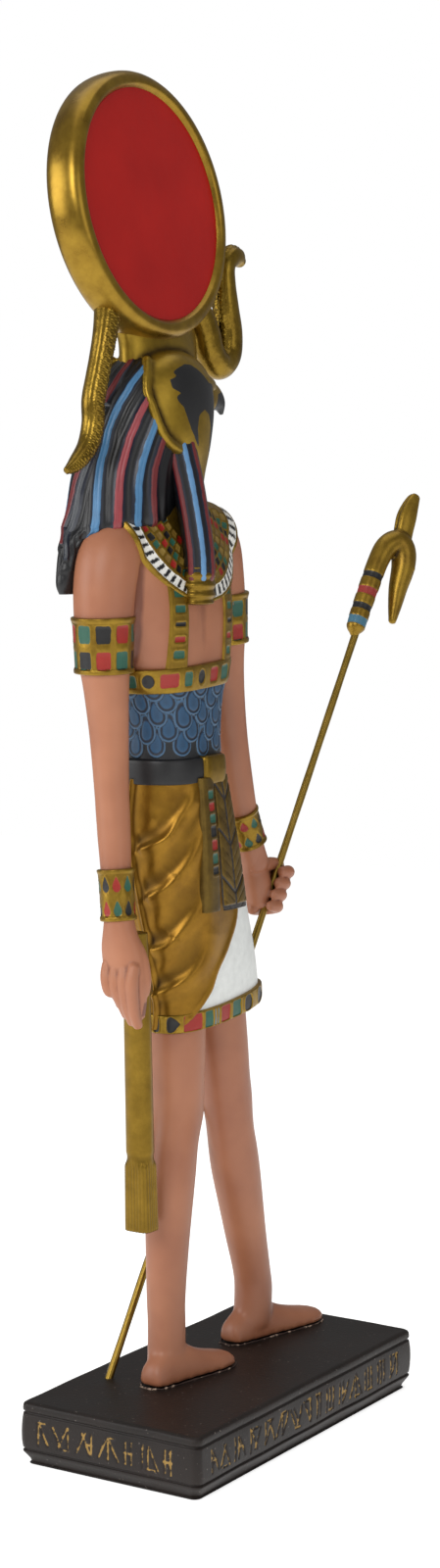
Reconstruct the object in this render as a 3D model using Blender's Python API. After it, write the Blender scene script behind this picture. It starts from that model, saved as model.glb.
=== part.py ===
"""Painted resin figurine of a falcon-headed god in the flat pose of a wall painting.

The shoulders, chest and sun disc face -Y, while the head and the legs are in profile towards +X.
The figure is one casting. It stands on a separate plinth and holds a metal shaft with a cast head.
Metres, +Z up, origin at the middle of the plinth's underside.
"""

import math

import bmesh
import bpy
from mathutils import Matrix, Vector

MM = 0.001

# Plinth: a block with a cap, a lettered middle course and a foot, parted by two grooves.
PLINTH_LENGTH = 92.5 * MM
PLINTH_DEPTH = 46.2 * MM
PLINTH_HEIGHT = 13.8 * MM
CAP_HEIGHT = 2.3 * MM
FOOT_HEIGHT = 3.2 * MM
FOOT_TAPER = 1.5 * MM
GROOVE_WIDTH = 1.0 * MM
GROOVE_DEPTH = 0.6 * MM
CAP_ROUNDING = 0.8 * MM
CORNER_RADIUS = 1.6 * MM

# Figure: everything on it is drawn in parts of its height, 286 of them from the soles to the disc's top.
FIGURE_HEIGHT = 285.9 * MM
DRAWN_HEIGHT = 286.0
FIGURE_GAP = 0.3 * MM

# Sceptre: a straight metal shaft through the left fist, standing in a socket in the plinth.
SHAFT_DIAMETER = 1.7 * MM
SHAFT_CLEARANCE = 0.3 * MM
SHAFT_LENGTH = 194.0 * MM
SOCKET_X = -24.0 * MM
SOCKET_Y = 16.3 * MM
SOCKET_DEPTH = 3.5 * MM
SLEEVE_DIAMETER = 4.0 * MM
SLEEVE_LENGTH = 21.0 * MM
SLEEVE_SOCKET = 7.0 * MM
HEAD_TURN = math.radians(-32)

GILT = (0.42, 0.27, 0.045)
SKIN = (0.50, 0.22, 0.13)
BLACK = (0.025, 0.022, 0.022)


def clear_scene():
    for item in list(bpy.data.objects):
        bpy.data.objects.remove(item, do_unlink=True)


def material(name, colour, roughness, metallic):
    finish = bpy.data.materials.new(name)
    finish.use_nodes = True
    shader = finish.node_tree.nodes["Principled BSDF"]
    shader.inputs["Base Color"].default_value = (*colour, 1.0)
    shader.inputs["Roughness"].default_value = roughness
    shader.inputs["Metallic"].default_value = metallic
    return finish


def new_object(name, mesh_data):
    mesh = bpy.data.meshes.new(name)
    mesh_data.to_mesh(mesh)
    mesh_data.free()
    item = bpy.data.objects.new(name, mesh)
    bpy.context.scene.collection.objects.link(item)
    return item


def skin_rings(name, rings):
    """A closed body through rings of points, each ring with as many points as the next."""
    data = bmesh.new()
    loops = [[data.verts.new(point) for point in ring] for ring in rings]
    sides = len(loops[0])
    for low, high in zip(loops, loops[1:]):
        for k in range(sides):
            nxt = (k + 1) % sides
            data.faces.new((low[k], low[nxt], high[nxt], high[k]))
    data.faces.new(list(reversed(loops[0])))
    data.faces.new(loops[-1])
    if data.calc_volume(signed=True) < 0:
        bmesh.ops.reverse_faces(data, faces=data.faces)
    return new_object(name, data)


def curve_through(rows, steps):
    """Rows of numbers with `steps` rows for each stretch, on a Catmull-Rom curve through them."""
    out = []
    last = len(rows) - 1
    for i in range(last):
        before, start, end, after = (rows[max(0, min(last, i + d))] for d in (-1, 0, 1, 2))
        for s in range(steps):
            t = s / steps
            out.append(tuple(
                0.5 * (2 * b + (c - a) * t + (2 * a - 5 * b + 4 * c - d) * t**2 + (3 * b - a - 3 * c + d) * t**3)
                for a, b, c, d in zip(before, start, end, after)
            ))
    out.append(tuple(rows[last]))
    return out


def superellipse(angle, half_x, half_y, power):
    """A point of a rounded oval: power 2 is an ellipse, and more is squarer."""
    c, s = math.cos(angle), math.sin(angle)
    return (
        half_x * math.copysign(abs(c) ** (2 / power), c),
        half_y * math.copysign(abs(s) ** (2 / power), s),
    )


def column(name, rows, sides, power=2.0, steps=1, carve=None, rise=(0.0, 0.0)):
    """A body of ovals. A row is (x, y, z, half length along X, half width along Y).

    carve(angle, height share) gives how far, in parts, the surface stands out or in.
    rise is how steeply the ovals climb towards +X at the bottom and at the top.
    """
    rows = curve_through(rows, steps)
    bottom, top = rows[0][2], rows[-1][2]
    rings = []
    for x, y, z, half_x, half_y in rows:
        ring = []
        for k in range(sides):
            angle = 2 * math.pi * k / sides
            share = (z - bottom) / (top - bottom)
            out = carve(angle, share) if carve else 0.0
            dx, dy = superellipse(angle, half_x + out, half_y + out, power)
            slope = rise[0] + (rise[1] - rise[0]) * share
            ring.append(Vector((x + dx, y + dy, z + slope * dx)))
        rings.append(ring)
    return skin_rings(name, rings)


def tube(name, rows, sides=8, steps=1, flat=1.0, side=(0, 1, 0)):
    """A body along a path. A row is (x, y, z, radius), and flat thins it across `side`."""
    rows = curve_through(rows, steps)
    points = [Vector(row[:3]) for row in rows]
    rings = []
    for i, point in enumerate(points):
        along = (points[min(i + 1, len(points) - 1)] - points[max(i - 1, 0)]).normalized()
        across = (Vector(side) - along * along.dot(Vector(side))).normalized()
        third = along.cross(across)
        radius = rows[i][3]
        rings.append([
            point + across * radius * flat * math.sin(a) + third * radius * math.cos(a)
            for a in (2 * math.pi * k / sides for k in range(sides))
        ])
    return skin_rings(name, rings)


def turned(name, centre, axis, profile, sides):
    """A round body on an axis. The profile is (distance along the axis, radius) from back to front."""
    turn = Vector((0, 0, 1)).rotation_difference(Vector(axis)).to_matrix()
    rings = [
        [Vector(centre) + turn @ Vector((r * math.cos(a), r * math.sin(a), along))
         for a in (2 * math.pi * k / sides for k in range(sides))]
        for along, r in profile
    ]
    return skin_rings(name, rings)


def slab(name, outline, y_low, y_high):
    """An outline in the XZ plane, as thick as from y_low to y_high."""
    rings = [[Vector((x, y, z)) for x, z in outline] for y in (y_low, y_high)]
    return skin_rings(name, rings)


def combine(target, other, operation, solver="EXACT"):
    """Joins, cuts or keeps the overlap of two bodies, and removes the second."""
    modifier = target.modifiers.new(other.name, "BOOLEAN")
    modifier.operation = operation
    modifier.object = other
    modifier.solver = solver
    modifier.use_self = solver == "EXACT"
    bpy.context.view_layer.update()
    shape = target.evaluated_get(bpy.context.evaluated_depsgraph_get())
    mesh = bpy.data.meshes.new_from_object(shape)
    target.modifiers.clear()
    target.data = mesh
    bpy.data.objects.remove(other, do_unlink=True)
    return target


def place(item, scale, lift, finish):
    """Brings a body drawn in parts or millimetres to its real size and height."""
    item.data.transform(Matrix.Translation((0, 0, lift)) @ Matrix.Diagonal((scale, scale, scale, 1)))
    item.data.materials.clear()
    item.data.materials.append(finish)
    item.data.shade_smooth()
    item.data.set_sharp_from_angle(angle=math.radians(35))


# The figure's own measures, in parts: x to the front of the stride, y to the back, z up from the soles.
BODY_X, BODY_Y = -8.0, 11.0

TORSO = [
    (-6.9, 10.0, 128, 12.0, 9.7), (-7.0, 10.0, 136, 11.9, 9.5), (-7.0, 10.1, 144, 11.9, 9.3),
    (-7.2, 10.4, 151, 13.2, 9.9), (-7.6, 10.8, 158, 16.2, 11.0), (-8.0, 11.0, 168, 18.4, 11.0),
    (-8.0, 11.2, 178, 19.8, 10.0), (-8.0, 11.3, 186, 20.6, 8.4), (-8.0, 11.2, 190.0, 16.6, 6.8),
    (-8.0, 11.0, 193, 9.6, 6.4),
]
RIGHT_ARM = [
    (-22.0, 11.2, 188.0, 5.4), (-27.2, 11.2, 184.4, 7.0), (-29.8, 11.0, 176.5, 6.8), (-30.3, 11.0, 163.5, 6.0),
    (-30.1, 10.6, 155.0, 5.0), (-29.8, 10.1, 145.0, 4.3), (-30.2, 9.2, 133.0, 3.8), (-31.0, 8.0, 122.0, 3.6),
    (-31.9, 6.7, 110.5, 3.3), (-32.0, 6.2, 107.5, 3.2),
]
LEFT_ARM = [
    (5.6, 11.2, 188.0, 5.4), (11.2, 11.2, 184.4, 6.8), (14.4, 11.2, 176.5, 6.4), (15.9, 11.2, 165.5, 5.9),
    (17.2, 11.3, 155.0, 5.0), (20.0, 11.6, 142.0, 4.4), (22.8, 11.4, 130.0, 4.1), (25.8, 11.0, 120.0, 3.6),
    (28.4, 10.7, 113.5, 3.3), (30.2, 10.6, 109.5, 3.4),
]
RIGHT_LEG = [
    (-16.4, 4.5, 3.0, 4.0, 3.6), (-16.0, 4.8, 12.0, 3.6, 3.5), (-15.6, 5.0, 18.0, 3.8, 3.7),
    (-15.0, 5.2, 30.0, 4.8, 4.4), (-14.2, 5.4, 42.0, 5.7, 5.0), (-12.8, 5.5, 53.0, 5.5, 5.0),
    (-11.3, 5.8, 60.0, 5.9, 5.3), (-10.4, 6.2, 72.0, 6.6, 6.0), (-9.2, 7.2, 92.0, 7.6, 7.0),
]
LEFT_LEG = [
    (20.0, 5.2, 3.0, 3.9, 3.4), (20.8, 5.4, 11.0, 3.6, 3.4), (20.2, 5.5, 16.0, 3.6, 3.4),
    (17.6, 5.7, 26.0, 4.3, 4.0), (13.8, 5.9, 41.0, 5.4, 4.8), (11.2, 6.0, 52.0, 5.4, 4.9),
    (10.0, 6.2, 59.0, 5.8, 5.2), (8.6, 6.4, 71.0, 6.5, 6.0), (5.6, 7.2, 92.0, 7.4, 7.0),
]
# Each foot: heel and toe on the plinth, then (share of the length, half width, height) from the heel.
RIGHT_FOOT = ((-23.8, 4.6), (2.6, 0.8))
LEFT_FOOT = ((12.8, 7.2), (43.0, 1.4))
FOOT_SECTIONS = [
    (0.00, 1.8, 2.6), (0.05, 3.4, 5.2), (0.22, 3.9, 8.0), (0.40, 4.2, 7.6), (0.58, 4.7, 5.4),
    (0.76, 5.2, 3.8), (0.90, 4.7, 2.9), (0.98, 3.2, 2.1), (1.00, 1.6, 1.2),
]
KILT = [
    (1.2, 6.2, 80.2, 17.7, 8.3), (1.0, 6.3, 85.0, 17.5, 8.5), (-0.4, 6.9, 95.0, 16.8, 9.1),
    (-2.6, 7.6, 106.0, 16.0, 9.6), (-5.0, 8.6, 118.0, 14.8, 10.2), (-6.4, 9.6, 127.0, 13.3, 10.4),
    (-6.9, 10.0, 134.0, 12.6, 10.2),
]
NECK = [
    (-8.5, 10.8, 184.0, 11.5, 8.2), (-8.4, 10.6, 192.0, 10.8, 8.0), (-8.5, 10.4, 199.0, 11.6, 8.3),
    (-8.8, 10.2, 206.0, 13.0, 9.0), (-9.0, 10.0, 213.0, 13.8, 9.5), (-9.0, 10.0, 219.0, 13.4, 9.3),
    (-9.6, 10.2, 223.5, 11.8, 8.2), (-11.0, 10.8, 227.0, 10.2, 7.0), (-12.4, 11.4, 231.5, 10.4, 5.8),
    (-13.0, 12.4, 237.0, 13.0, 4.4),
]
WIG_CAP = [
    (-15.6, 13.4, 184.0, 16.2, 9.0), (-15.6, 13.3, 193.0, 15.2, 9.8), (-15.2, 13.2, 200.0, 14.2, 10.2),
    (-14.6, 12.9, 207.0, 13.2, 10.4), (-13.8, 12.4, 214.0, 12.6, 10.4), (-13.0, 12.0, 219.0, 11.8, 9.8),
    (-12.4, 12.0, 223.5, 10.2, 8.4), (-12.2, 11.8, 226.5, 8.2, 6.4),
]
WIG_EDGE = [
    (-20.3, 230.0), (-21.2, 224.0), (-21.2, 219.0), (-20.4, 214.5), (-18.6, 210.0), (-15.4, 206.0),
    (-11.0, 203.6), (-6.6, 202.6),
]
WIG_FALL = [
    (-22.6, 18.0, 174.6, 13.0, 3.2), (-22.6, 18.0, 176.4, 13.6, 4.0), (-21.6, 17.4, 186.0, 13.2, 4.8),
    (-19.4, 16.4, 194.0, 12.2, 5.6), (-17.2, 15.4, 202.0, 10.8, 6.2), (-15.6, 14.4, 209.0, 9.4, 6.4),
]
LAPPET = [
    (-11.3, -1.0, 172.0, 4.6), (-11.3, -1.1, 176.0, 4.7), (-11.4, -0.9, 182.0, 4.5), (-11.8, 0.6, 190.0, 4.4),
    (-12.4, 2.8, 198.0, 4.5), (-13.2, 5.2, 206.0, 4.6),
]
BEAK = [
    (1.0, 10.0, 218.0, 5.0), (6.0, 10.0, 218.8, 4.2), (10.4, 10.0, 218.6, 3.2), (13.4, 10.0, 217.4, 2.2),
    (15.1, 10.0, 215.4, 1.2), (15.3, 10.0, 213.8, 0.5),
]
DISC_CENTRE = (-11.6, 14.2, 257.0)
DISC_LEAN = math.radians(8.7)
DISC_RADIUS = 29.0
DISC_THICKNESS = 9.0
DISC_INLAY_RADIUS = 25.8
DISC_INLAY_DEPTH = 1.0
COBRA = [
    (4.0, 12.4, 238.0, 2.6), (7.4, 11.6, 235.6, 2.8), (9.6, 11.0, 230.8, 3.0), (11.2, 11.0, 226.6, 3.1),
    (15.0, 11.0, 223.7, 3.2), (18.8, 11.0, 226.0, 3.0), (19.6, 11.0, 231.0, 2.8), (18.4, 11.0, 236.5, 2.7),
    (17.6, 11.0, 241.9, 2.4), (17.8, 11.0, 246.0, 2.2), (19.8, 11.0, 248.4, 2.1), (22.6, 11.0, 248.6, 1.6),
    (24.3, 11.0, 247.7, 0.8),
]
COBRA_TAIL = [
    (-24.6, 13.0, 240.0, 3.4), (-27.5, 11.6, 234.0, 2.9), (-29.4, 11.0, 229.4, 2.6), (-30.9, 11.0, 224.3, 2.5),
    (-32.3, 11.0, 220.1, 2.5), (-33.8, 11.0, 215.4, 2.5), (-34.0, 11.0, 210.5, 2.4), (-36.0, 11.0, 205.8, 2.2),
    (-40.2, 11.0, 202.2, 1.7), (-43.4, 11.0, 200.8, 0.8),
]
CLOTH_TOP = (-28.6, 4.2, 102.0)
CLOTH_FOOT = (-26.0, 4.6, 36.0)
CLOTH_HALF_X, CLOTH_HALF_Y = 2.5, 2.9
RIGHT_PALM = [
    (-31.0, 3.6, 84.0, 1.8, 2.0), (-31.5, 4.0, 87.0, 3.0, 4.2), (-31.8, 4.5, 92.0, 3.5, 5.4),
    (-32.2, 5.0, 98.0, 3.4, 5.8), (-32.5, 5.5, 104.0, 3.3, 4.7), (-32.3, 6.2, 109.0, 3.3, 3.5),
]
GRIP = (34.0, 8.2, 104.0)
RIGHT_ARM_BAND = (-30.3, 11.0, 163.7, 6.1)
LEFT_ARM_BAND = (15.9, 11.2, 167.3, 5.8)
HEM_RISE = 0.09
FIST_OFFSET = (2.4, 1.5, 0.6)
BAND_RELIEF = 0.5


def part_length():
    return FIGURE_HEIGHT / DRAWN_HEIGHT


def figure_base():
    return PLINTH_HEIGHT + FIGURE_GAP


def grip_point():
    """Where the shaft's axis passes through the left fist."""
    return Vector(GRIP) * part_length() + Vector((0, 0, figure_base()))


def shaft_foot():
    return Vector((SOCKET_X, SOCKET_Y, PLINTH_HEIGHT - SOCKET_DEPTH + FIGURE_GAP))


def shaft_direction():
    return (grip_point() - shaft_foot()).normalized()


def rod(name, start, end, diameter, sides=12):
    """A straight round rod between two points, in metres."""
    along = (end - start).normalized()
    return turned(name, start, along, [(0, diameter / 2), ((end - start).length, diameter / 2)], sides)


def rounded_rectangle(half_x, half_y, radius, z, steps=4):
    """Level points round a rectangle whose corners are arcs."""
    points = []
    for corner, (sx, sy) in enumerate(((1, 1), (-1, 1), (-1, -1), (1, -1))):
        for s in range(steps + 1):
            angle = math.pi / 2 * (corner + s / steps)
            points.append(Vector((
                sx * (half_x - radius) + radius * math.cos(angle),
                sy * (half_y - radius) + radius * math.sin(angle),
                z,
            )))
    return points


def make_plinth():
    """The block is lofted from its underside up, and the shaft's socket is drilled in its top."""
    cap_foot = PLINTH_HEIGHT - CAP_HEIGHT
    half_groove = GROOVE_WIDTH / 2
    middle = (FOOT_HEIGHT + cap_foot) / 2
    profile = [(0.0, FOOT_TAPER), (FOOT_HEIGHT * 0.3, FOOT_TAPER * 0.5), (FOOT_HEIGHT - half_groove, 0.0)]
    profile += [(FOOT_HEIGHT, GROOVE_DEPTH), (FOOT_HEIGHT + half_groove, 0.0), (middle, -GROOVE_DEPTH / 3)]
    profile += [(cap_foot - half_groove, 0.0), (cap_foot, GROOVE_DEPTH), (cap_foot + half_groove, 0.0)]
    for s in range(4):
        turn = math.pi / 2 * s / 3
        height = PLINTH_HEIGHT - CAP_ROUNDING + CAP_ROUNDING * math.sin(turn)
        profile.append((height, CAP_ROUNDING * (1 - math.cos(turn))))
    rings = [
        rounded_rectangle(PLINTH_LENGTH / 2 - inset, PLINTH_DEPTH / 2 - inset, CORNER_RADIUS, z)
        for z, inset in profile
    ]
    plinth = skin_rings("plinth", rings)
    bore = SHAFT_DIAMETER + 2 * SHAFT_CLEARANCE
    along = shaft_direction()
    floor = shaft_foot() - along * FIGURE_GAP
    drill = rod("socket drill", floor, floor + along * (2 * PLINTH_HEIGHT), bore)
    combine(plinth, drill, "DIFFERENCE")
    place(plinth, 1.0, 0.0, material("black resin", BLACK, 0.45, 0.0))


def make_shaft():
    foot = shaft_foot()
    shaft = rod("sceptre_shaft", foot, foot + shaft_direction() * SHAFT_LENGTH, SHAFT_DIAMETER)
    place(shaft, 1.0, 0.0, material("gilt rod", GILT, 0.35, 0.9))


def make_sceptre_head():
    """A banded sleeve that bends over into an animal's long face, with one tall pair of ears."""
    r = SLEEVE_DIAMETER / 2
    top = SLEEVE_LENGTH
    head = tube("sceptre_head", [
        (0, 0, 0, r * 0.8), (0, 0, 0.1 * r, r), (0, 0, 0.5 * top, r * 0.98), (0, 0, top, r),
        (0.5 * r, 0, top + 1.4 * r, r * 1.15), (1.9 * r, 0, top + 2.4 * r, r * 1.35),
        (3.5 * r, 0, top + 1.9 * r, r * 1.25), (4.2 * r, 0, top + 0.4 * r, r * 0.95),
        (4.5 * r, 0, top - 1.8 * r, r * 0.75), (4.8 * r, 0, top - 4.4 * r, r * 0.5),
        (4.9 * r, 0, top - 6.8 * r, r * 0.2),
    ], sides=10, steps=2)
    for side in (-1, 1):
        ear = tube("ear", [
            (1.8 * r, side * 0.2 * r, top + 2.6 * r, r * 0.5), (1.9 * r, side * 0.35 * r, top + 4.4 * r, r * 0.75),
            (2.3 * r, side * 0.45 * r, top + 6.6 * r, r * 0.7), (2.6 * r, side * 0.5 * r, top + 8.5 * r, r * 0.35),
        ], sides=8, steps=2, flat=0.55)
        combine(head, ear, "UNION")
    along = shaft_direction()
    seat = shaft_foot() + along * (SHAFT_LENGTH - SLEEVE_SOCKET)
    turn = Vector((0, 0, 1)).rotation_difference(along).to_matrix().to_4x4()
    head.data.transform(Matrix.Translation(seat) @ turn @ Matrix.Rotation(HEAD_TURN, 4, "Z"))
    bore = SHAFT_DIAMETER + 2 * SHAFT_CLEARANCE
    drill = rod("sleeve drill", seat - along * SLEEVE_SOCKET,
                seat + along * (SLEEVE_SOCKET + FIGURE_GAP), bore)
    combine(head, drill, "DIFFERENCE")
    place(head, 1.0, 0.0, material("gilt resin", GILT, 0.4, 0.6))


def drape(angle, height):
    """The kilt's wrapped cloth hangs in bows that climb from the right hip to the left."""
    folds = 3.2
    sweep = (angle - math.pi) / math.pi
    bow = height * folds - 1.6 * sweep + 0.7 * sweep * sweep
    front = max(0.0, -math.sin(angle))
    return 0.55 * front * math.sin(2 * math.pi * bow)


def ridges(count, depth):
    """Flutes that run down a body, `count` of them round it."""
    return lambda angle, height: depth * math.cos(count * angle)


def foot(name, ends):
    """A bare foot with a flat sole, lofted from heel to toe."""
    (hx, hy), (tx, ty) = ends
    along = Vector((tx - hx, ty - hy, 0))
    across = Vector((-along.y, along.x, 0)).normalized()
    rings = []
    for share, half_width, height in FOOT_SECTIONS:
        centre = Vector((hx, hy, 0)) + along * share
        ring = [centre - across * half_width * 0.9, centre + across * half_width * 0.9]
        for k in range(1, 8):
            angle = math.pi * k / 8
            wide, high = superellipse(angle, half_width, height, 2.3)
            ring.append(centre + across * wide + Vector((0, 0, max(high, 0.3))))
        rings.append(ring)
    return skin_rings(name, rings)


def hand_parts():
    """The right hand closed on the cloth, and the left fist round the shaft."""
    parts = [column("right palm", RIGHT_PALM, 12, steps=1)]
    for k in range(4):
        y = 8.4 - 2.5 * k
        parts.append(tube(f"right finger {k}", [
            (-34.4, y * 0.9 + 0.6, 97.0, 1.5), (-34.6, y * 0.85 + 0.7, 91.0, 1.5), (-33.6, y * 0.7 + 1.2, 85.6, 1.35),
            (-31.6, y * 0.6 + 1.5, 82.4, 1.1),
        ], sides=7))
    parts.append(tube("right thumb", [
        (-31.8, 2.2, 103.0, 1.9), (-31.2, 0.0, 97.0, 1.8), (-30.4, -0.6, 91.0, 1.5), (-29.8, -0.4, 87.6, 1.0),
    ], sides=7))
    parts.append(tube("left palm", [
        (29.4, 10.6, 111.4, 3.3), (31.4, 10.4, 108.8, 3.8), (33.8, 9.8, 105.8, 3.9),
    ], sides=12))
    knuckles = []
    for k in range(4):
        swell = 0.25 * abs(k - 1.5)
        knuckles += [(3.2 * k - 6.4 + along, out - swell) for along, out in ((0.0, 4.1), (0.8, 4.6), (2.2, 4.6))]
    knuckles = [(-7.0, 2.4)] + knuckles + [(6.4, 3.8), (7.0, 2.4)]
    parts.append(turned("left fist", Vector(GRIP) + Vector(FIST_OFFSET), shaft_direction(), knuckles, 16))
    return parts


def cloth():
    """The folded cloth in the right hand: one flat strip with its two free ends below."""
    top, end = Vector(CLOTH_TOP), Vector(CLOTH_FOOT)
    rings = []
    for share, swell in ((0.0, 0.8), (0.25, 0.96), (0.5, 1.0), (0.74, 1.04), (0.78, 0.97), (1.0, 1.1)):
        centre = top.lerp(end, share)
        rings.append([
            centre + Vector((sx * CLOTH_HALF_X * swell, sy * CLOTH_HALF_Y * swell, 0))
            for sx, sy in ((1, 0.8), (0.8, 1), (-0.8, 1), (-1, 0.8), (-1, -0.8), (-0.8, -1), (0.8, -1), (1, -0.8))
        ])
    return skin_rings("cloth", rings)


def sun_disc():
    """A thick disc that leans back, its red inlay sunk below a rounded rim on both faces."""
    half = DISC_THICKNESS / 2
    front = [
        (half - DISC_INLAY_DEPTH, DISC_INLAY_RADIUS - 0.8), (half - 0.1, DISC_INLAY_RADIUS),
        (half, DISC_INLAY_RADIUS + 0.9), (half - 1.1, DISC_RADIUS - 0.6), (half - 2.4, DISC_RADIUS),
    ]
    back = [(-along, radius) for along, radius in front]
    facing = (0.0, -math.cos(DISC_LEAN), math.sin(DISC_LEAN))
    return turned("sun disc", DISC_CENTRE, facing, back + front[::-1], 40)


def wig_parts():
    """The wig over the crown, its fall behind the right shoulder and the lappet on the chest."""
    cap = column("wig cap", WIG_CAP, 32, power=2.3, carve=ridges(16, 0.3))
    edge = curve_through(WIG_EDGE, 1)
    opening = [(x, z) for x, z in edge] + [(edge[-1][0], 184.0), (30.0, 184.0), (30.0, 240.0), (-20.3, 240.0)]
    combine(cap, slab("face opening", opening, -20.0, 40.0), "DIFFERENCE")
    fall = column("wig fall", WIG_FALL, 28, power=3.0, carve=ridges(14, 0.3))
    lappet = tube("lappet", LAPPET, sides=12, steps=1, flat=0.72)
    return [cap, fall, lappet]


def relief(name, keep, swell):
    """A band, strap or collar: the torso a little larger, kept only where `keep` is."""
    rows = [(x, y, z, hx + swell, hy + swell) for x, y, z, hx, hy in TORSO]
    shell = column(name, rows, 28, power=2.8)
    return combine(shell, keep, "INTERSECT")


def circle_outline(x, z, radius, count=32):
    return [(x + radius * math.cos(a), z + radius * math.sin(a))
            for a in (2 * math.pi * k / count for k in range(count))]


def costume_parts():
    """Collar, straps, chest band, belt with its buckle, apron, arm bands and hem, all in low relief."""
    parts = [
        relief("collar", slab("collar reach", circle_outline(BODY_X, 193.0, 20.6), -10.0, 30.0), 1.0),
        relief("chest band", slab("chest band reach", [(-40, 151.6), (30, 154.7), (30, 160.9), (-40, 155.9)],
                                  -10.0, 30.0), 0.7),
    ]
    for side in (-1, 1):
        x = BODY_X + side * 10.0
        outline = [(x - 1.9, 155), (x + 1.9, 155), (x + 1.9, 176), (x - 1.9, 176)]
        parts.append(relief("strap", slab("strap reach", outline, -10.0, 30.0), 0.5))
    parts.append(column("belt", [
        (-6.9, 10.0, 133.0, 13.4, 11.0), (-7.0, 10.0, 138.0, 13.2, 10.9),
    ], 28, power=2.3))
    parts.append(column("buckle", [
        (-7.0, 0.4, 132.6, 3.2, 2.2), (-7.0, 0.4, 138.4, 3.4, 2.2),
    ], 8, power=4.0))
    parts.append(column("apron", [
        (-1.4, -1.6, 104.0, 7.0, 2.0), (-3.0, -0.8, 118.0, 6.0, 2.0), (-4.8, 0.4, 134.0, 4.6, 1.6),
    ], 12, power=4.0))
    parts.append(column("hem", [
        (1.2, 6.2, 79.4, 18.3, 8.8), (1.1, 6.2, 83.4, 18.2, 9.0),
    ], 36, power=2.4, rise=(HEM_RISE, HEM_RISE)))
    for x, y, z, half in (RIGHT_ARM_BAND, LEFT_ARM_BAND):
        radius = 6.0 + BAND_RELIEF
        rows = [(x, y, z - half, radius - 0.2, radius), (x - 0.2, y, z + half, radius + 0.2, radius)]
        parts.append(column("arm band", rows, 20))
    for top, end in (((-31.3, 7.7, 116.0), (-32.0, 6.3, 104.8)), ((24.6, 11.2, 122.4), (28.2, 10.7, 114.4))):
        parts.append(tube("wrist band", [(*top, 4.0), (*end, 3.8)], sides=16))
    return parts


def make_figure():
    """One casting: body, wig, falcon's head, sun disc with its cobra, costume, hands and cloth."""
    body = column("figure", TORSO, 28, power=2.8)
    kilt = column("kilt", KILT, 40, power=2.4, steps=2, carve=drape, rise=(HEM_RISE, 0.0))
    parts = [kilt, column("neck and head", NECK, 24, power=2.2, steps=1), tube("beak", BEAK, sides=10, flat=0.62)]
    parts += [column("right leg", RIGHT_LEG, 14), column("left leg", LEFT_LEG, 14)]
    parts += [foot("right foot", RIGHT_FOOT), foot("left foot", LEFT_FOOT)]
    parts += [tube("right arm", RIGHT_ARM, sides=14), tube("left arm", LEFT_ARM, sides=14)]
    parts += [sun_disc(), tube("cobra", COBRA, sides=10, steps=2), tube("cobra tail", COBRA_TAIL, sides=10, steps=2)]
    parts += wig_parts()
    parts += costume_parts()
    parts += hand_parts()
    parts.append(cloth())
    for part in parts:
        combine(body, part, "UNION", "MANIFOLD")
    place(body, part_length(), figure_base(), material("painted resin", SKIN, 0.5, 0.0))
    along = shaft_direction()
    bore = SHAFT_DIAMETER + 2 * SHAFT_CLEARANCE
    drill = rod("fist drill", shaft_foot(), shaft_foot() + along * SHAFT_LENGTH, bore)
    combine(body, drill, "DIFFERENCE", "MANIFOLD")


clear_scene()
make_plinth()
make_shaft()
make_sceptre_head()
make_figure()
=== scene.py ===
"""A painted resin figurine of a falcon-headed god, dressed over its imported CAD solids.

Lengths are millimetres in the object's own frame: X to the front of the stride, Y to the back, Z up.
Heights on the figure are counted from its soles, which stand SOLE above the table.
"""

import math

import bpy
import numpy as np
from mathutils import Matrix, Vector


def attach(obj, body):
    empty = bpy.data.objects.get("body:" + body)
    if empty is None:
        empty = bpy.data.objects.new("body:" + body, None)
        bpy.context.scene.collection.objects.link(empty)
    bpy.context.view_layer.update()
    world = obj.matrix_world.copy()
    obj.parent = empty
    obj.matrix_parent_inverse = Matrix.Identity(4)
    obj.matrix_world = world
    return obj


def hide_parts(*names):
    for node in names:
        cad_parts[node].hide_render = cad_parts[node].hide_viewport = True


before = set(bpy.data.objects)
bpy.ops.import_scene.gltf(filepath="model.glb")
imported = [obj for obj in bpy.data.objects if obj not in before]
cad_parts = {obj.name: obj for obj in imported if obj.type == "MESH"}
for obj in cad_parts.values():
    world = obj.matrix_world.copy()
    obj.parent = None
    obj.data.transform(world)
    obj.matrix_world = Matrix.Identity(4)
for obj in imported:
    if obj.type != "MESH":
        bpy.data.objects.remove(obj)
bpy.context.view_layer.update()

# ---------------------------------------------------------------------------------------------
# Studio
# A plain pale floor, soft white light from large panels, and the camera where the photograph was
# taken: a little above the figurine's middle, turned towards its right side.

MM = 0.001
SOLE = 14.1

camera = bpy.data.cameras.new("studio_camera")
camera.lens = 67.5
camera.sensor_fit = "AUTO"
camera.sensor_width = 36.0
camera.shift_x = -0.0022
camera.clip_start = 0.01
camera_stand = bpy.data.objects.new("studio_camera", camera)
camera_stand.location = (-0.5453, -0.3463, 0.2186)
camera_stand.rotation_euler = (math.radians(90 - 6.439), 0.0, math.radians(-57.58))
bpy.context.scene.collection.objects.link(camera_stand)
bpy.context.scene.camera = camera_stand


def linear(code):
    """A colour's sRGB hex value in linear light."""
    shares = [int(code[k:k + 2], 16) / 255 for k in (1, 3, 5)]
    return tuple(s / 12.92 if s <= 0.04045 else ((s + 0.055) / 1.055) ** 2.4 for s in shares) + (1.0,)


def add(tree, kind, values=None, links=None, **settings):
    """Adds a node with its settings, its socket values and the sockets that feed it."""
    node = tree.nodes.new(kind)
    for name, value in settings.items():
        setattr(node, name, value)
    for socket, value in (values or {}).items():
        node.inputs[socket].default_value = value
    for socket, source in (links or {}).items():
        tree.links.new(source, node.inputs[socket])
    return node


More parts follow.
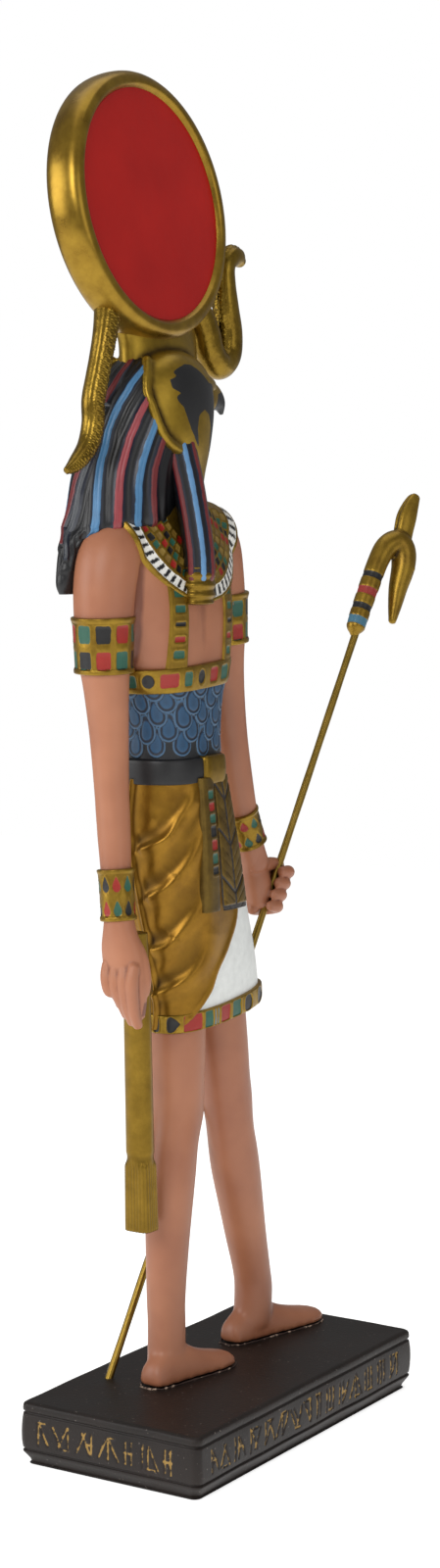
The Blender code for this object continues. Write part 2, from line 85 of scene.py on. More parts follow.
def new_paint(name, colour, roughness, metallic=0.0):
    """A material with one shader, ready for its nodes, and the place of each point in its piece."""
    material = bpy.data.materials.new(name)
    material.use_nodes = True
    tree = material.node_tree
    shader = tree.nodes["Principled BSDF"]
    shader.inputs["Base Color"].default_value = linear(colour)
    shader.inputs["Roughness"].default_value = roughness
    shader.inputs["Metallic"].default_value = metallic
    return material, tree, shader, add(tree, "ShaderNodeTexCoord").outputs["Object"]


def noise(tree, place, scale, detail):
    """A cloudy value from 0 to 1 over a piece."""
    return add(tree, "ShaderNodeTexNoise", {"Scale": scale, "Detail": detail}, {"Vector": place}).outputs[0]


def two_tone(tree, cloud, low, low_code, high, high_code):
    """Two shades of a paint that drift into each other with the cloud."""
    tone = add(tree, "ShaderNodeValToRGB", links={"Fac": cloud})
    for k, position, code in ((0, low, low_code), (1, high, high_code)):
        tone.color_ramp.elements[k].position, tone.color_ramp.elements[k].color = position, linear(code)
    return tone.outputs["Color"]


def panel(name, place, aim, size, power):
    """A soft square light panel that faces a point."""
    light = bpy.data.lights.new(name, "AREA")
    light.shape = "SQUARE"
    light.size = size
    light.energy = power
    stand = bpy.data.objects.new(name, light)
    stand.location = place
    stand.rotation_euler = (Vector(aim) - Vector(place)).to_track_quat("-Z", "Y").to_euler()
    bpy.context.scene.collection.objects.link(stand)


panel("key_light", (-1.10, -0.20, 0.75), (0.0, 0.0, 0.16), 0.55, 6.1)
panel("side_light", (-0.35, -1.10, 0.45), (0.0, 0.0, 0.15), 0.75, 2.1)
panel("rim_light", (-0.80, 0.75, 0.45), (0.0, 0.0, 0.17), 0.60, 4.6)
panel("top_light", (0.15, 0.10, 1.15), (0.0, 0.0, 0.15), 0.9, 2.6)

# The backdrop itself is pure white, and the light that it throws on the figurine is a soft grey.
world = bpy.data.worlds.new("studio")
world.use_nodes = True
backdrop = world.node_tree
background = backdrop.nodes["Background"]
background.inputs["Color"].default_value = linear("#FFFFFF")
seen = add(backdrop, "ShaderNodeLightPath").outputs["Is Camera Ray"]
glow = add(backdrop, "ShaderNodeMapRange", {"To Min": 0.25, "To Max": 1.0}, {"Value": seen}).outputs[0]
backdrop.links.new(glow, background.inputs["Strength"])
bpy.context.scene.world = world
bpy.context.scene.view_settings.view_transform = "Standard"


def fresh_start():
    """Nothing stays selected, so that the next operator meets only its own piece."""
    bpy.ops.object.select_all(action="DESELECT")


# Matt white paper over a light table, slightly cloudy.
floor_paper, tree, shader, place = new_paint("matt_white_paper", "#F4F4F2", 0.9)
tone = two_tone(tree, noise(tree, place, 2.0, 2.0), 0.0, "#F0F0EE", 1.0, "#FAFAF8")
tree.links.new(tone, shader.inputs["Base Color"])
shader.inputs["Emission Color"].default_value = linear("#FFFFFF")
shader.inputs["Emission Strength"].default_value = 0.68

fresh_start()
bpy.ops.mesh.primitive_plane_add(size=1.6, location=(0.0, 0.0, -0.0002))
floor = bpy.context.object
floor.name = "paper_floor"
bpy.ops.object.transform_apply(location=True)
floor.data.materials.append(floor_paper)

# ---------------------------------------------------------------------------------------------
# Plinth
# A cast resin block, nearly black, slightly bulged, with a cap and a foot parted from the lettered
# middle course by two grooves. The marks in the middle course are cut in and rubbed with gold.

PLINTH_LENGTH, PLINTH_DEPTH, PLINTH_HEIGHT = 92.5, 46.2, 13.8
CORNER = 1.8
COURSE_MIDDLE = 7.4
STROKE_HALF, STROKE_STEP, STROKE_DEPTH = 0.2, 1.4, 0.3


def between(rows, share):
    """The rows' numbers at each share of the way, on a smooth curve through them."""
    rows = np.array(rows, float)
    last = len(rows) - 1
    reach = np.clip(share, 0, 1) * last
    index = np.minimum(reach.astype(int), last - 1)
    t = (reach - index)[:, None]
    a, b, c, d = (rows[np.clip(index + step, 0, last)] for step in (-1, 0, 1, 2))
    return b + 0.5 * t * (c - a + t * (2 * a - 5 * b + 4 * c - d + t * (3 * (b - c) + d - a)))


def waves(points, size, seed=0.0):
    """Slow smooth unevenness from -1 to 1, with bumps about `size` across, as a hand leaves it."""
    p = points / size
    out = np.sin(1.7 * p[:, 0] + 1.3 * p[:, 2] + seed) * np.cos(1.9 * p[:, 1] - 0.7 * p[:, 2] + 2 * seed)
    return 0.6 * out + 0.4 * np.sin(3.1 * p[:, 2] + 2.3 * p[:, 1] - 1.1 * p[:, 0] + 3 * seed)


def wrapped(name, across, along, shape, lift=SOLE):
    """A sheet wrapped into a closed form. shape(u, v) gives points, u runs round and v runs up."""
    fresh_start()
    bpy.ops.mesh.primitive_grid_add(x_subdivisions=across, y_subdivisions=along, size=1.0)
    piece = bpy.context.object
    piece.name = piece.data.name = name
    flat = np.empty(len(piece.data.vertices) * 3)
    piece.data.vertices.foreach_get("co", flat)
    u, v = flat.reshape(-1, 3)[:, :2].T + 0.5
    points = shape(u, v) + np.array((0.0, 0.0, lift))
    piece.data.vertices.foreach_set("co", (points * MM).ravel())
    for label, values in (("round", u), ("up", v)):
        piece.data.attributes.new(label, "FLOAT", "POINT").data.foreach_set("value", values)
    bpy.ops.object.mode_set(mode="EDIT")
    bpy.ops.mesh.select_all(action="SELECT")
    bpy.ops.mesh.remove_doubles(threshold=2e-6)
    bpy.ops.mesh.select_all(action="DESELECT")
    bpy.ops.mesh.select_non_manifold()
    bpy.ops.mesh.fill_holes(sides=0)
    bpy.ops.mesh.select_all(action="SELECT")
    bpy.ops.mesh.normals_make_consistent(inside=False)
    bpy.ops.object.mode_set(mode="OBJECT")
    if sum(face.area * face.normal.dot(face.center) for face in piece.data.polygons) < 0:
        bpy.ops.object.mode_set(mode="EDIT")
        bpy.ops.mesh.flip_normals()
        bpy.ops.object.mode_set(mode="OBJECT")
    bpy.ops.object.shade_smooth()
    return piece


def points_of(piece):
    """A piece's points in millimetres, heights counted from the soles, and their normals."""
    flat = np.empty(len(piece.data.vertices) * 3)
    piece.data.vertices.foreach_get("co", flat)
    normals = np.empty_like(flat)
    piece.data.vertices.foreach_get("normal", normals)
    return flat.reshape(-1, 3) / MM - np.array((0, 0, SOLE)), normals.reshape(-1, 3)


def move(piece, by):
    """Moves each of a piece's points by its own row of millimetres."""
    points, _ = points_of(piece)
    piece.data.vertices.foreach_set("co", ((points + by + np.array((0, 0, SOLE))) * MM).ravel())
    piece.data.update()


def share_of(piece, label):
    """The number kept under a label on each point of a piece."""
    values = np.empty(len(piece.data.vertices))
    piece.data.attributes[label].data.foreach_get("value", values)
    return values


def note(piece, label, values):
    """Keeps a number or a colour on each point of a piece, for its paint to read."""
    if label in piece.data.attributes:
        piece.data.attributes.remove(piece.data.attributes[label])
    kind, field = ("FLOAT", "value") if values.ndim == 1 else ("FLOAT_COLOR", "color")
    piece.data.attributes.new(label, kind, "POINT").data.foreach_set(field, values.ravel())


def hollows(piece, passes=14):
    """Notes how deep each point lies in a hollow of its surroundings, in mm, where the paints darken it as painted
    shade.
    """
    points, normals = points_of(piece)
    ends = np.empty(len(piece.data.edges) * 2, int)
    piece.data.edges.foreach_get("vertices", ends)
    a, b = ends.reshape(-1, 2).T
    count = np.maximum(np.bincount(ends, minlength=len(points)), 1)
    soft = points.copy()
    for _ in range(passes):
        for k in range(3):
            total = np.bincount(a, soft[b, k], len(points)) + np.bincount(b, soft[a, k], len(points))
            soft[:, k] = 0.5 * soft[:, k] + 0.5 * total / count
    note(piece, "hollow", ((soft - points) * normals).sum(1))


def box_inside(a, b, half_a, half_b, corner=0.3, turn=0.0):
    """How far points lie inside a rounded box about the origin. Outside it is less than 0."""
    c, s = math.cos(turn), math.sin(turn)
    a, b = c * a + s * b, c * b - s * a
    out_a, out_b = np.abs(a) - half_a + corner, np.abs(b) - half_b + corner
    away = np.hypot(np.maximum(out_a, 0), np.maximum(out_b, 0)) + np.minimum(np.maximum(out_a, out_b), 0)
    return corner - away


def dress(piece, material, slot, *nodes):
    """Paints a piece, rides it on the frame and hides the solids it stands for. Its slot is not used."""
    piece.data.materials.clear()
    piece.data.materials.append(material)
    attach(piece, "root")
    if nodes:
        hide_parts(*nodes)


def laid_over(tree, share, under, code):
    """A colour laid over another one by the share at each point, as paint or as painted shade."""
    return add(tree, "ShaderNodeMix", {7: linear(code)}, {0: share, 6: under}, data_type="RGBA").outputs[2]


def ragged(tree, cloud, by, inlay):
    """How far a point lies inside a painted field, made uneven by a cloud."""
    wobble = add(tree, "ShaderNodeMath", {1: 0.5}, {0: cloud}, operation="SUBTRACT").outputs[0]
    return add(tree, "ShaderNodeMath", {1: by}, {0: wobble, 2: inlay}, operation="MULTIPLY_ADD").outputs[0]


def satin(tree, shader, cloud, low, high):
    """Roughness that drifts with a cloud."""
    shine = add(tree, "ShaderNodeMapRange", {"To Min": low, "To Max": high}, {"Value": cloud}).outputs[0]
    tree.links.new(shine, shader.inputs["Roughness"])


def grained(tree, shader, height, strength, depth=0.0002):
    """A fine unevenness of the surface, `depth` metres deep."""
    bump = add(tree, "ShaderNodeBump", {"Strength": strength, "Distance": depth}, {"Height": height}).outputs[0]
    tree.links.new(bump, shader.inputs["Normal"])


def plinth_shape(u, v):
    """A rounded rectangle's outline, climbed by the profile of foot, grooves, middle course and cap."""
    # The two sides with marks, and the course that they stand in, have the finest mesh.
    u = np.interp(u, (0.0, 0.46, 0.54, 0.70, 1.0), (0.0, 0.333, 0.5, 0.833, 1.0))
    v = np.interp(v, (0.0, 0.05, 0.26, 0.76, 0.95, 1.0), (0.0, 0.06, 0.437, 0.605, 0.94, 1.0))
    half_x, half_y = PLINTH_LENGTH / 2, PLINTH_DEPTH / 2
    line_x, line_y = 2 * (half_x - CORNER), 2 * (half_y - CORNER)
    arc = math.pi / 2 * CORNER
    lengths = np.array([line_x, arc, line_y, arc, line_x, arc, line_y, arc])
    stops = np.concatenate([[0], np.cumsum(lengths)])
    s = u * stops[-1]
    part = np.clip(np.searchsorted(stops, s, side="right") - 1, 0, 7)
    t = (s - stops[part]) / lengths[part]
    # The outline runs along the front to +X, up the +X end, back along the rear and down the -X end.
    corner_x = np.array([1, 1, 1, 1, -1, -1, -1, -1])[part] * (half_x - CORNER)
    corner_y = np.array([-1, -1, 1, 1, 1, 1, -1, -1])[part] * (half_y - CORNER)
    facing = np.array([270, 270, 0, 0, 90, 90, 180, 180])[part] + np.where(part % 2 == 1, 90 * t, 0)
    facing = np.radians(facing)
    back = np.where(part % 2 == 0, (1 - t) * lengths[part], 0)
    way = np.radians(np.array([0, 0, 90, 90, 180, 180, 270, 270])[part])
    x = corner_x + CORNER * np.cos(facing) - back * np.cos(way)
    y = corner_y + CORNER * np.sin(facing) - back * np.sin(way)
    profile = [  # inset, height
        (1.0, 0.0), (1.6, 0.0), (1.35, 0.35), (1.0, 1.2), (0.35, 2.2), (0.0, 2.8), (0.05, 3.05), (0.55, 3.3),
        (0.1, 3.6), (0.0, 3.9), (-0.15, 5.2), (-0.22, 7.4), (-0.15, 9.6), (0.0, 11.0), (0.1, 11.3), (0.6, 11.6),
        (0.1, 11.9), (0.0, 12.2), (0.02, 13.0), (0.25, 13.5), (0.8, PLINTH_HEIGHT),
        (1.4, PLINTH_HEIGHT),
    ]
    inset, z = between(profile, (v - 0.06) / 0.88).T
    shrink = np.where(v < 0.06, v / 0.06, np.where(v > 0.94, (1 - v) / 0.06, 1.0))
    keep = 1 - inset / np.minimum(half_x, half_y)
    x = x * (1 - inset / half_x) * shrink
    y = y * keep * shrink
    points = np.stack([x, y, np.where(v < 0.06, 0.0, np.where(v > 0.94, PLINTH_HEIGHT, z))], 1)
    sway = 0.14 * waves(points, 6.0, 0.4)
    side = (z > 1) & (shrink > 0.99)
    points[:, 0] += np.where(side, sway * np.cos(facing), 0)
    points[:, 1] += np.where(side, sway * np.sin(facing), 0)
    return points


plinth = wrapped("plinth_block", 620, 60, plinth_shape, lift=0.0)
points, normals = points_of(plinth)
height = points[:, 2] + SOLE
on_front = normals[:, 1] < -0.7
on_side = normals[:, 0] < -0.7
inside = np.full(len(points), -1.0)
# Groups of two or three short strokes, upright or leaning, each with a short bar. They are no letters.
marks = np.random.default_rng(11)
for face, position, half in ((on_front, points[:, 0], 42.5), (on_side, -points[:, 1], 19.5)):
    at = -half + 1.5
    while at < half - 2.0:
        for k in range(marks.integers(2, 4)):
            lean = marks.choice([0.0, 0.0, 0.45, -0.45])
            reach = marks.uniform(2.5, 3.0)
            bar = box_inside(position - at, height - COURSE_MIDDLE, STROKE_HALF, reach, STROKE_HALF, lean)
            inside = np.where(face, np.maximum(inside, bar), inside)
            at += STROKE_STEP
        level = height - COURSE_MIDDLE - marks.choice([-2.5, 0.0, 2.5])
        bar = box_inside(position - at + 2.1, level, 1.2, STROKE_HALF, STROKE_HALF)
        inside = np.where(face, np.maximum(inside, bar), inside)
        at += marks.uniform(1.5, 2.2)
cut = np.clip(inside / 0.2 + 0.4, 0, 1)
move(plinth, -normals * (cut * STROKE_DEPTH)[:, None])
note(plinth, "inlay", inside)
hollows(plinth, 8)

# Cast polyester resin, brown-black all through and satin from the mould, flecked with grey.
plinth_resin, tree, shader, place = new_paint("black_cast_resin", "#2A2422", 0.42)
shader.inputs["Specular IOR Level"].default_value = 0.3
cloud = noise(tree, place, 90.0, 4.0)
tone = two_tone(tree, cloud, 0.3, "#17110E", 0.75, "#241B17")
speck = noise(tree, place, 1400.0, 2.0)
bright = add(tree, "ShaderNodeMapRange", {"From Min": 0.70, "From Max": 0.76}, {"Value": speck}).outputs[0]
speckled = laid_over(tree, bright, tone, "#6B625C")
inlay = add(tree, "ShaderNodeAttribute", attribute_name="inlay").outputs["Fac"]
reach = ragged(tree, noise(tree, place, 700.0, 3.0), 0.9, inlay)
gold = add(tree, "ShaderNodeMapRange", {"From Min": 0.0, "From Max": 0.1}, {"Value": reach}).outputs[0]
tree.links.new(laid_over(tree, gold, speckled, "#9A7A3E"), shader.inputs["Base Color"])
satin(tree, shader, cloud, 0.40, 0.56)
grained(tree, shader, speck, 0.25)
dress(plinth, plinth_resin, "black_resin", "plinth")

# ---------------------------------------------------------------------------------------------
# Skin
# Trunk, arms, legs and feet are one casting, painted matt reddish brown, with soft muscles.
# It is built from ovals and round limbs that are melted together.

TORSO = [
    (-6.9, 10.0, 128, 12.0, 9.7), (-7.0, 10.0, 136, 11.9, 9.5), (-7.0, 10.1, 144, 11.9, 9.3),
    (-7.2, 10.4, 151, 13.2, 9.9), (-7.6, 10.8, 158, 16.2, 11.0), (-8.0, 11.0, 168, 18.4, 11.0),
    (-8.0, 11.2, 178, 19.8, 10.0), (-8.0, 11.3, 185, 20.4, 8.4), (-8.0, 11.2, 189.2, 16.0, 6.8),
    (-8.0, 11.0, 193, 9.6, 6.4),
]
RIGHT_ARM = [
    (-22.0, 11.2, 186.8, 5.4), (-27.2, 11.2, 183.2, 6.9), (-29.8, 11.0, 176.0, 6.8), (-30.3, 11.0, 163.5, 6.0),
    (-30.1, 10.6, 155.0, 5.0), (-29.8, 10.1, 145.0, 4.3), (-30.2, 9.2, 133.0, 3.8), (-31.0, 8.0, 122.0, 3.6),
    (-31.9, 6.7, 110.5, 3.1), (-32.0, 6.2, 107.5, 3.0),
]
LEFT_ARM = [
    (5.6, 11.2, 188.0, 5.4), (11.2, 11.2, 184.4, 6.8), (14.4, 11.2, 176.5, 6.4), (15.9, 11.2, 165.5, 5.9),
    (17.2, 11.3, 155.0, 5.0), (20.0, 11.6, 142.0, 4.4), (22.8, 11.4, 130.0, 4.1), (25.8, 11.0, 120.0, 3.6),
    (28.4, 10.7, 113.5, 3.3), (30.2, 10.6, 109.5, 3.4),
]
RIGHT_LEG = [
    (-16.4, 4.6, 3.0, 4.7, 4.1), (-16.0, 4.8, 12.0, 4.5, 4.1), (-15.9, 5.0, 18.0, 4.6, 4.2),
    (-15.0, 5.2, 30.0, 5.2, 4.7), (-13.6, 5.4, 42.0, 5.9, 5.2), (-11.7, 5.5, 53.0, 6.1, 5.3),
    (-10.1, 5.8, 60.0, 6.3, 5.5), (-9.5, 6.2, 72.0, 6.9, 6.1), (-9.2, 7.2, 92.0, 7.6, 7.0),
]
LEFT_LEG = [
    (20.8, 5.4, 3.0, 5.2, 4.1), (21.6, 5.5, 11.0, 5.0, 4.2), (20.9, 5.6, 16.0, 4.9, 4.2),
    (18.3, 5.8, 26.0, 5.3, 4.7), (14.8, 6.0, 41.0, 6.1, 5.3), (12.2, 6.0, 52.0, 6.0, 5.3),
    (10.8, 6.2, 59.0, 6.1, 5.5), (9.0, 6.4, 71.0, 6.6, 6.0), (5.6, 7.2, 92.0, 7.4, 7.0),
]
RIGHT_FOOT = ((-23.8, 4.6), (2.6, 0.8))
LEFT_FOOT = ((12.8, 7.2), (43.0, 1.4))
FOOT_SECTIONS = [
    (0.00, 1.8, 2.6), (0.05, 3.4, 5.2), (0.22, 3.9, 8.0), (0.40, 4.2, 7.6), (0.58, 4.7, 5.4),
    (0.76, 5.2, 3.8), (0.90, 4.7, 2.9), (0.98, 3.2, 2.1), (1.00, 1.6, 1.2),
]


def upright(rows, power=2.0, relief=None, rise=(0.0, 0.0), dome=0.0):
    """Level ovals, stacked through rows of (x, y, z, half along X, half along Y)."""
    bottom, top = rows[0][2], rows[-1][2]

    def shape(u, v):
        share = np.clip((v - dome) / (1 - 2 * dome), 0, 1) if dome else v
        x, y, z, half_x, half_y = between(rows, share).T
        turn = 2 * np.pi * u
        c, s = np.cos(turn), np.sin(turn)
        reach = (np.abs(c) ** power + np.abs(s) ** power) ** (-1 / power)
        if dome:
            past = np.maximum(np.maximum((dome - v) / dome, (v - 1 + dome) / dome), 0)
            reach = reach * (1 - past)
        dx, dy = half_x * reach * c, half_y * reach * s
        slope = rise[0] + (rise[1] - rise[0]) * (z - bottom) / (top - bottom)
        if relief is not None:
            out = relief(u, v, x + dx, y + dy, z)
            away = np.hypot(c * half_y, s * half_x)
            dx, dy = dx + out * c * half_y / away, dy + out * s * half_x / away
        return np.stack([x + dx, y + dy, z + slope * dx], 1)

    return shape


def tube(rows, flat=1.0, side=(0, 1, 0), blunt=0.05, relief=None, tip=0.8):
    """Round sections along rows of (x, y, z, radius), thinned across `side`, with both ends rounded."""
    side = np.array(side, float)

    def shape(u, v):
        share = np.clip((v - blunt) / (1 - 2 * blunt), 0, 1)
        row = between(rows, share)
        ahead = (between(rows, np.clip(share + 0.01, 0, 1)) - between(rows, np.clip(share - 0.01, 0, 1)))[:, :3]
        ahead /= np.linalg.norm(ahead, axis=1)[:, None]
        across = side - ahead * (ahead @ side)[:, None]
        across /= np.linalg.norm(across, axis=1)[:, None]
        third = np.cross(ahead, across)
        past = np.where(v < blunt, v / blunt - 1, np.where(v > 1 - blunt, (v - 1 + blunt) / blunt, 0.0))
        round_off = np.sqrt(np.clip(1 - past**2, 0, 1))
        reach = row[:, 3] * round_off
        if relief is not None:
            reach = reach + relief(u, v, row) * round_off
        turn = 2 * np.pi * u
        return (row[:, :3] + ahead * (tip * past * row[:, 3])[:, None]
                + across * (flat * np.sin(turn) * reach)[:, None] + third * (np.cos(turn) * reach)[:, None])

    return shape


def foot_shape(ends):
    """A bare foot with a flat sole from heel to toe."""
    heel, toe = np.array(ends, float)
    ahead = toe - heel
    aside = np.array((-ahead[1], ahead[0])) / np.linalg.norm(ahead)

    def shape(u, v):
        share, half, high = between(FOOT_SECTIONS, v).T
        turn = 2 * np.pi * u
        c, s = np.cos(turn), np.sin(turn)
        wide = half * np.sign(c) * np.abs(c) ** (2 / 2.3)
        up = np.where(s > 0, high * np.abs(s) ** (2 / 2.3), 0.0)
        grooves = np.clip((share - 0.80) / 0.12, 0, 1) * np.maximum(s, 0)
        up = up - 0.55 * grooves * np.clip(np.cos(wide / 5.0 * 2.5 * 2 * np.pi), 0, 1) ** 4
        spot = heel + ahead * share[:, None] + aside * wide[:, None]
        return np.stack([spot[:, 0], spot[:, 1], np.maximum(up, 0.0)], 1)

    return shape


def melted(name, pieces, grain, passes):
    """Joins overlapping closed forms into one skin with an even grain, and softens where they meet."""
    fresh_start()
    for piece in pieces:
        piece.select_set(True)
    bpy.context.view_layer.objects.active = pieces[0]
    bpy.ops.object.join()
    whole = bpy.context.object
    whole.name = whole.data.name = name
    whole.data.attributes.remove(whole.data.attributes["round"])
    whole.data.attributes.remove(whole.data.attributes["up"])
    remesh = whole.modifiers.new("one skin", "REMESH")
    remesh.mode = "VOXEL"
    remesh.voxel_size = grain * MM
    remesh.use_smooth_shade = True
    bpy.ops.object.modifier_apply(modifier=remesh.name)
    if passes:
        soften = whole.modifiers.new("soften", "SMOOTH")
        soften.factor = 0.5
        soften.iterations = passes
        bpy.ops.object.modifier_apply(modifier=soften.name)
    bpy.ops.object.shade_smooth()
    return whole


def copied(piece, name):
    """A second piece of the same form."""
    fresh_start()
    piece.select_set(True)
    bpy.context.view_layer.objects.active = piece
    bpy.ops.object.duplicate()
    twin = bpy.context.object
    twin.name = twin.data.name = name
    return twin


def chest_muscles(u, v, x, y, z):
    """Breast muscles, the hollow between them and the line of the belly, all very soft."""
    front = np.clip(-(y - 8) / 4, 0, 1)
    breast = sum(np.exp(-((x - cx) / 7.0) ** 2 - ((z - 172) / 7.5) ** 2) for cx in (-17.0, 1.0))
    return front * (0.7 * breast - 0.35 * np.exp(-((x + 8) / 1.8) ** 2 - ((z - 170) / 9) ** 2))


trunk = [
    wrapped("trunk", 96, 90, upright(TORSO, 2.8, chest_muscles)),
    wrapped("right arm", 48, 110, tube(RIGHT_ARM)),
    wrapped("left arm", 48, 110, tube(LEFT_ARM)),
]


def leg_muscles(toward):
    """Kneecap in front, calf behind and the shin's edge, towards or away from +X."""
    def relief(u, v, x, y, z):
        c = np.cos(2 * np.pi * u)
        knee = 0.75 * np.exp(-((z - toward) / 4.0) ** 2) * np.clip(c, 0, 1) ** 2
        hollow = -0.35 * np.exp(-((z - toward + 8) / 3.0) ** 2) * np.clip(c, 0, 1) ** 2
        calf = 0.5 * np.exp(-((z - toward + 17) / 9.0) ** 2) * np.clip(-c, 0, 1) ** 2
        return knee + hollow + calf
    return relief


lower = [
    wrapped("right leg", 64, 90, upright(RIGHT_LEG, 2.0, leg_muscles(59.0))),
    wrapped("left leg", 64, 90, upright(LEFT_LEG, 2.0, leg_muscles(59.0))),
    wrapped("right foot", 72, 90, foot_shape(RIGHT_FOOT)),
    wrapped("left foot", 72, 90, foot_shape(LEFT_FOOT)),
]
chest = melted("chest form", [copied(part, "chest " + part.name) for part in trunk], 0.62, 2)
skin = melted("skin_body", trunk + lower, 0.78, 3)
hollows(skin, 30)

# Acrylic craft paint over resin, reddish brown and nearly matt, with painted shade darkening the creases.
skin_paint, tree, shader, place = new_paint("matt_skin_acrylic", "#A0644C", 0.46)
cloud = noise(tree, place, 60.0, 3.0)
tone = two_tone(tree, cloud, 0.32, "#9A6044", 0.72, "#B07454")
# Painted shade: the deeper a point lies in a hollow, the more deep brown is laid over the skin paint.
hollow = add(tree, "ShaderNodeAttribute", attribute_name="hollow").outputs["Fac"]
painted_shade = add(tree, "ShaderNodeMapRange", {"From Min": 0.02, "From Max": 0.22, "To Max": 0.75},
           {"Value": hollow}).outputs[0]
tree.links.new(laid_over(tree, painted_shade, tone, "#5E2C1C"), shader.inputs["Base Color"])
grained(tree, shader, noise(tree, place, 900.0, 3.0), 0.12)
satin(tree, shader, cloud, 0.38, 0.52)
dress(skin, skin_paint, "painted_resin", "figure")

# ---------------------------------------------------------------------------------------------
# Hands
# Cast with the arms in the same paint: the right hand hangs closed on a folded cloth, and the left
# fist stands away from the body round the sceptre's shaft.

GRIP = np.array((34.0, 8.2, 104.0))
SHAFT_FOOT = np.array((-24.0, 16.3, -3.5))
RIGHT_PALM = [
    (-31.2, 2.4, 84.0, 1.6, 2.0), (-31.6, 3.0, 87.0, 2.6, 3.2), (-31.9, 4.2, 92.0, 3.3, 4.8),
    (-32.1, 5.2, 98.0, 3.3, 5.0), (-32.3, 5.8, 103.0, 3.1, 3.8), (-32.2, 6.1, 107.0, 2.9, 3.0),
]
shaft_way = (GRIP - SHAFT_FOOT) / np.linalg.norm(GRIP - SHAFT_FOOT)

parts = [wrapped("right palm", 48, 50, upright(RIGHT_PALM, dome=0.06))]
for k, low in enumerate((86.6, 84.6, 83.2, 82.6)):
    start, end = 7.9 - 2.3 * k, 5.6 - 1.45 * k
    parts.append(wrapped(f"right finger {k}", 24, 50, tube([
        (-34.0, start, 95.5, 1.2), (-34.7, start * 0.9 + end * 0.1, 92.8, 1.35),
        (-34.6, start * 0.6 + end * 0.4, 90.0, 1.35), (-33.7, start * 0.2 + end * 0.8, low + 2.8, 1.2),
        (-32.2, end, low, 1.1),
    ])))
parts.append(wrapped("right thumb", 24, 40, tube([
    (-31.6, 3.4, 101.0, 1.7), (-31.0, 1.4, 97.0, 1.65), (-30.8, 0.5, 92.5, 1.5), (-30.8, 0.5, 89.4, 1.15),
])))
parts.append(wrapped("right wrist", 32, 20, tube([(-32.0, 6.3, 110.0, 3.0), (-32.1, 6.1, 104.0, 3.1)])))
right_hand = melted("right_hand", parts, 0.32, 1)

# The left palm stands behind the shaft, on the body's side, and its fingers close round it.
across = np.array((0.844, 0.536, 0.0)) * 0.35 + np.array((0.536, -0.844, 0.0))
across /= np.linalg.norm(across)
inward = np.cross(shaft_way, across)
if inward[1] < 0:
    inward = -inward
palm = GRIP - across * 3.6 + inward * 0.6
parts = [wrapped("left palm", 40, 40, tube([
    (27.6, 10.8, 115.4, 3.1), (28.4, 10.9, 112.6, 3.2), (*(palm + np.array((-0.8, 0.6, 4.4))), 3.4),
    (*(palm + np.array((0.0, 0.2, 0.6))), 3.6), (*(palm + np.array((0.4, 0.0, -3.4))), 3.1),
], side=tuple(inward), flat=1.05))]
for k in range(4):
    middle = GRIP + shaft_way * (3.2 - 2.9 * k)
    curl = []
    for t in range(7):
        turn = math.radians(165 - 41 * t)
        curl.append((*(middle + 2.9 * (across * math.cos(turn) + inward * math.sin(turn))), 1.5 if t < 6 else 1.2))
    parts.append(wrapped(f"left finger {k}", 24, 50, tube(curl, side=tuple(shaft_way))))
parts.append(wrapped("left thumb", 24, 40, tube([
    (*(palm + np.array((-0.6, -0.6, 4.6))), 1.8), (*(GRIP - across * 2.6 - inward * 0.6 + shaft_way * 5.6), 1.6),
    (*(GRIP + across * 0.6 + inward * 2.2 + shaft_way * 5.8), 1.3),
])))
left_hand = melted("left_hand", parts, 0.32, 2)
aside = np.cross(shaft_way, (0.0, 1.0, 0.0))
aside /= np.linalg.norm(aside)
outward = np.cross(aside, shaft_way)
for hand in (right_hand, left_hand):
    hollows(hand, 30)
# Painted shade in the right fist's hole: its hollow is deepened round one spot, so the skin paint darkens it there.
points, _ = points_of(right_hand)
depth = share_of(right_hand, "hollow")
in_fist = np.hypot(points[:, 1] - 0.6, points[:, 2] - 86.2)
note(right_hand, "hollow", np.maximum(depth, 0.5 * np.clip(1.9 - in_fist, 0, 1) * (points[:, 0] > -32.0)))
for hand in (right_hand, left_hand):
    dress(hand, skin_paint, "painted_resin")

# ---------------------------------------------------------------------------------------------
# Kilt
# Gold cloth wrapped over a white underskirt and cast in one with the body. Its bows climb from the
# wrap's edge on the right hip, and it opens at the front of the stride, where the white shows.

KILT = [
    (1.2, 6.2, 80.2, 17.7, 8.3), (1.0, 6.3, 85.0, 17.5, 8.5), (-0.4, 6.9, 95.0, 16.8, 9.1),
    (-2.6, 7.6, 106.0, 16.0, 9.6), (-5.0, 8.6, 118.0, 14.8, 10.2), (-6.4, 9.6, 127.0, 13.3, 10.4),
    (-6.9, 10.0, 134.0, 12.6, 10.2),
]
HEM_RISE = 0.09
# Each bow as (share round, share up) from the wrap's edge to where it dies out.
BOWS = [
    [(0.497, 0.681), (0.586, 0.728), (0.630, 0.801), (0.671, 0.883), (0.70, 0.97)],
    [(0.504, 0.536), (0.577, 0.572), (0.636, 0.629), (0.677, 0.704), (0.710, 0.803), (0.72, 0.9)],
    [(0.497, 0.371), (0.556, 0.389), (0.617, 0.448), (0.666, 0.514), (0.689, 0.581), (0.71, 0.68)],
    [(0.484, 0.216), (0.583, 0.260), (0.633, 0.302), (0.661, 0.352), (0.677, 0.435), (0.70, 0.54)],
]
# The gold cloth's free edge, from the belt down to the hem.
WRAP_FRONT = [(0.80, 1.0), (0.80, 0.62), (0.789, 0.456), (0.739, 0.348), (0.697, 0.276), (0.676, 0.216),
              (0.654, 0.172), (0.62, 0.10)]


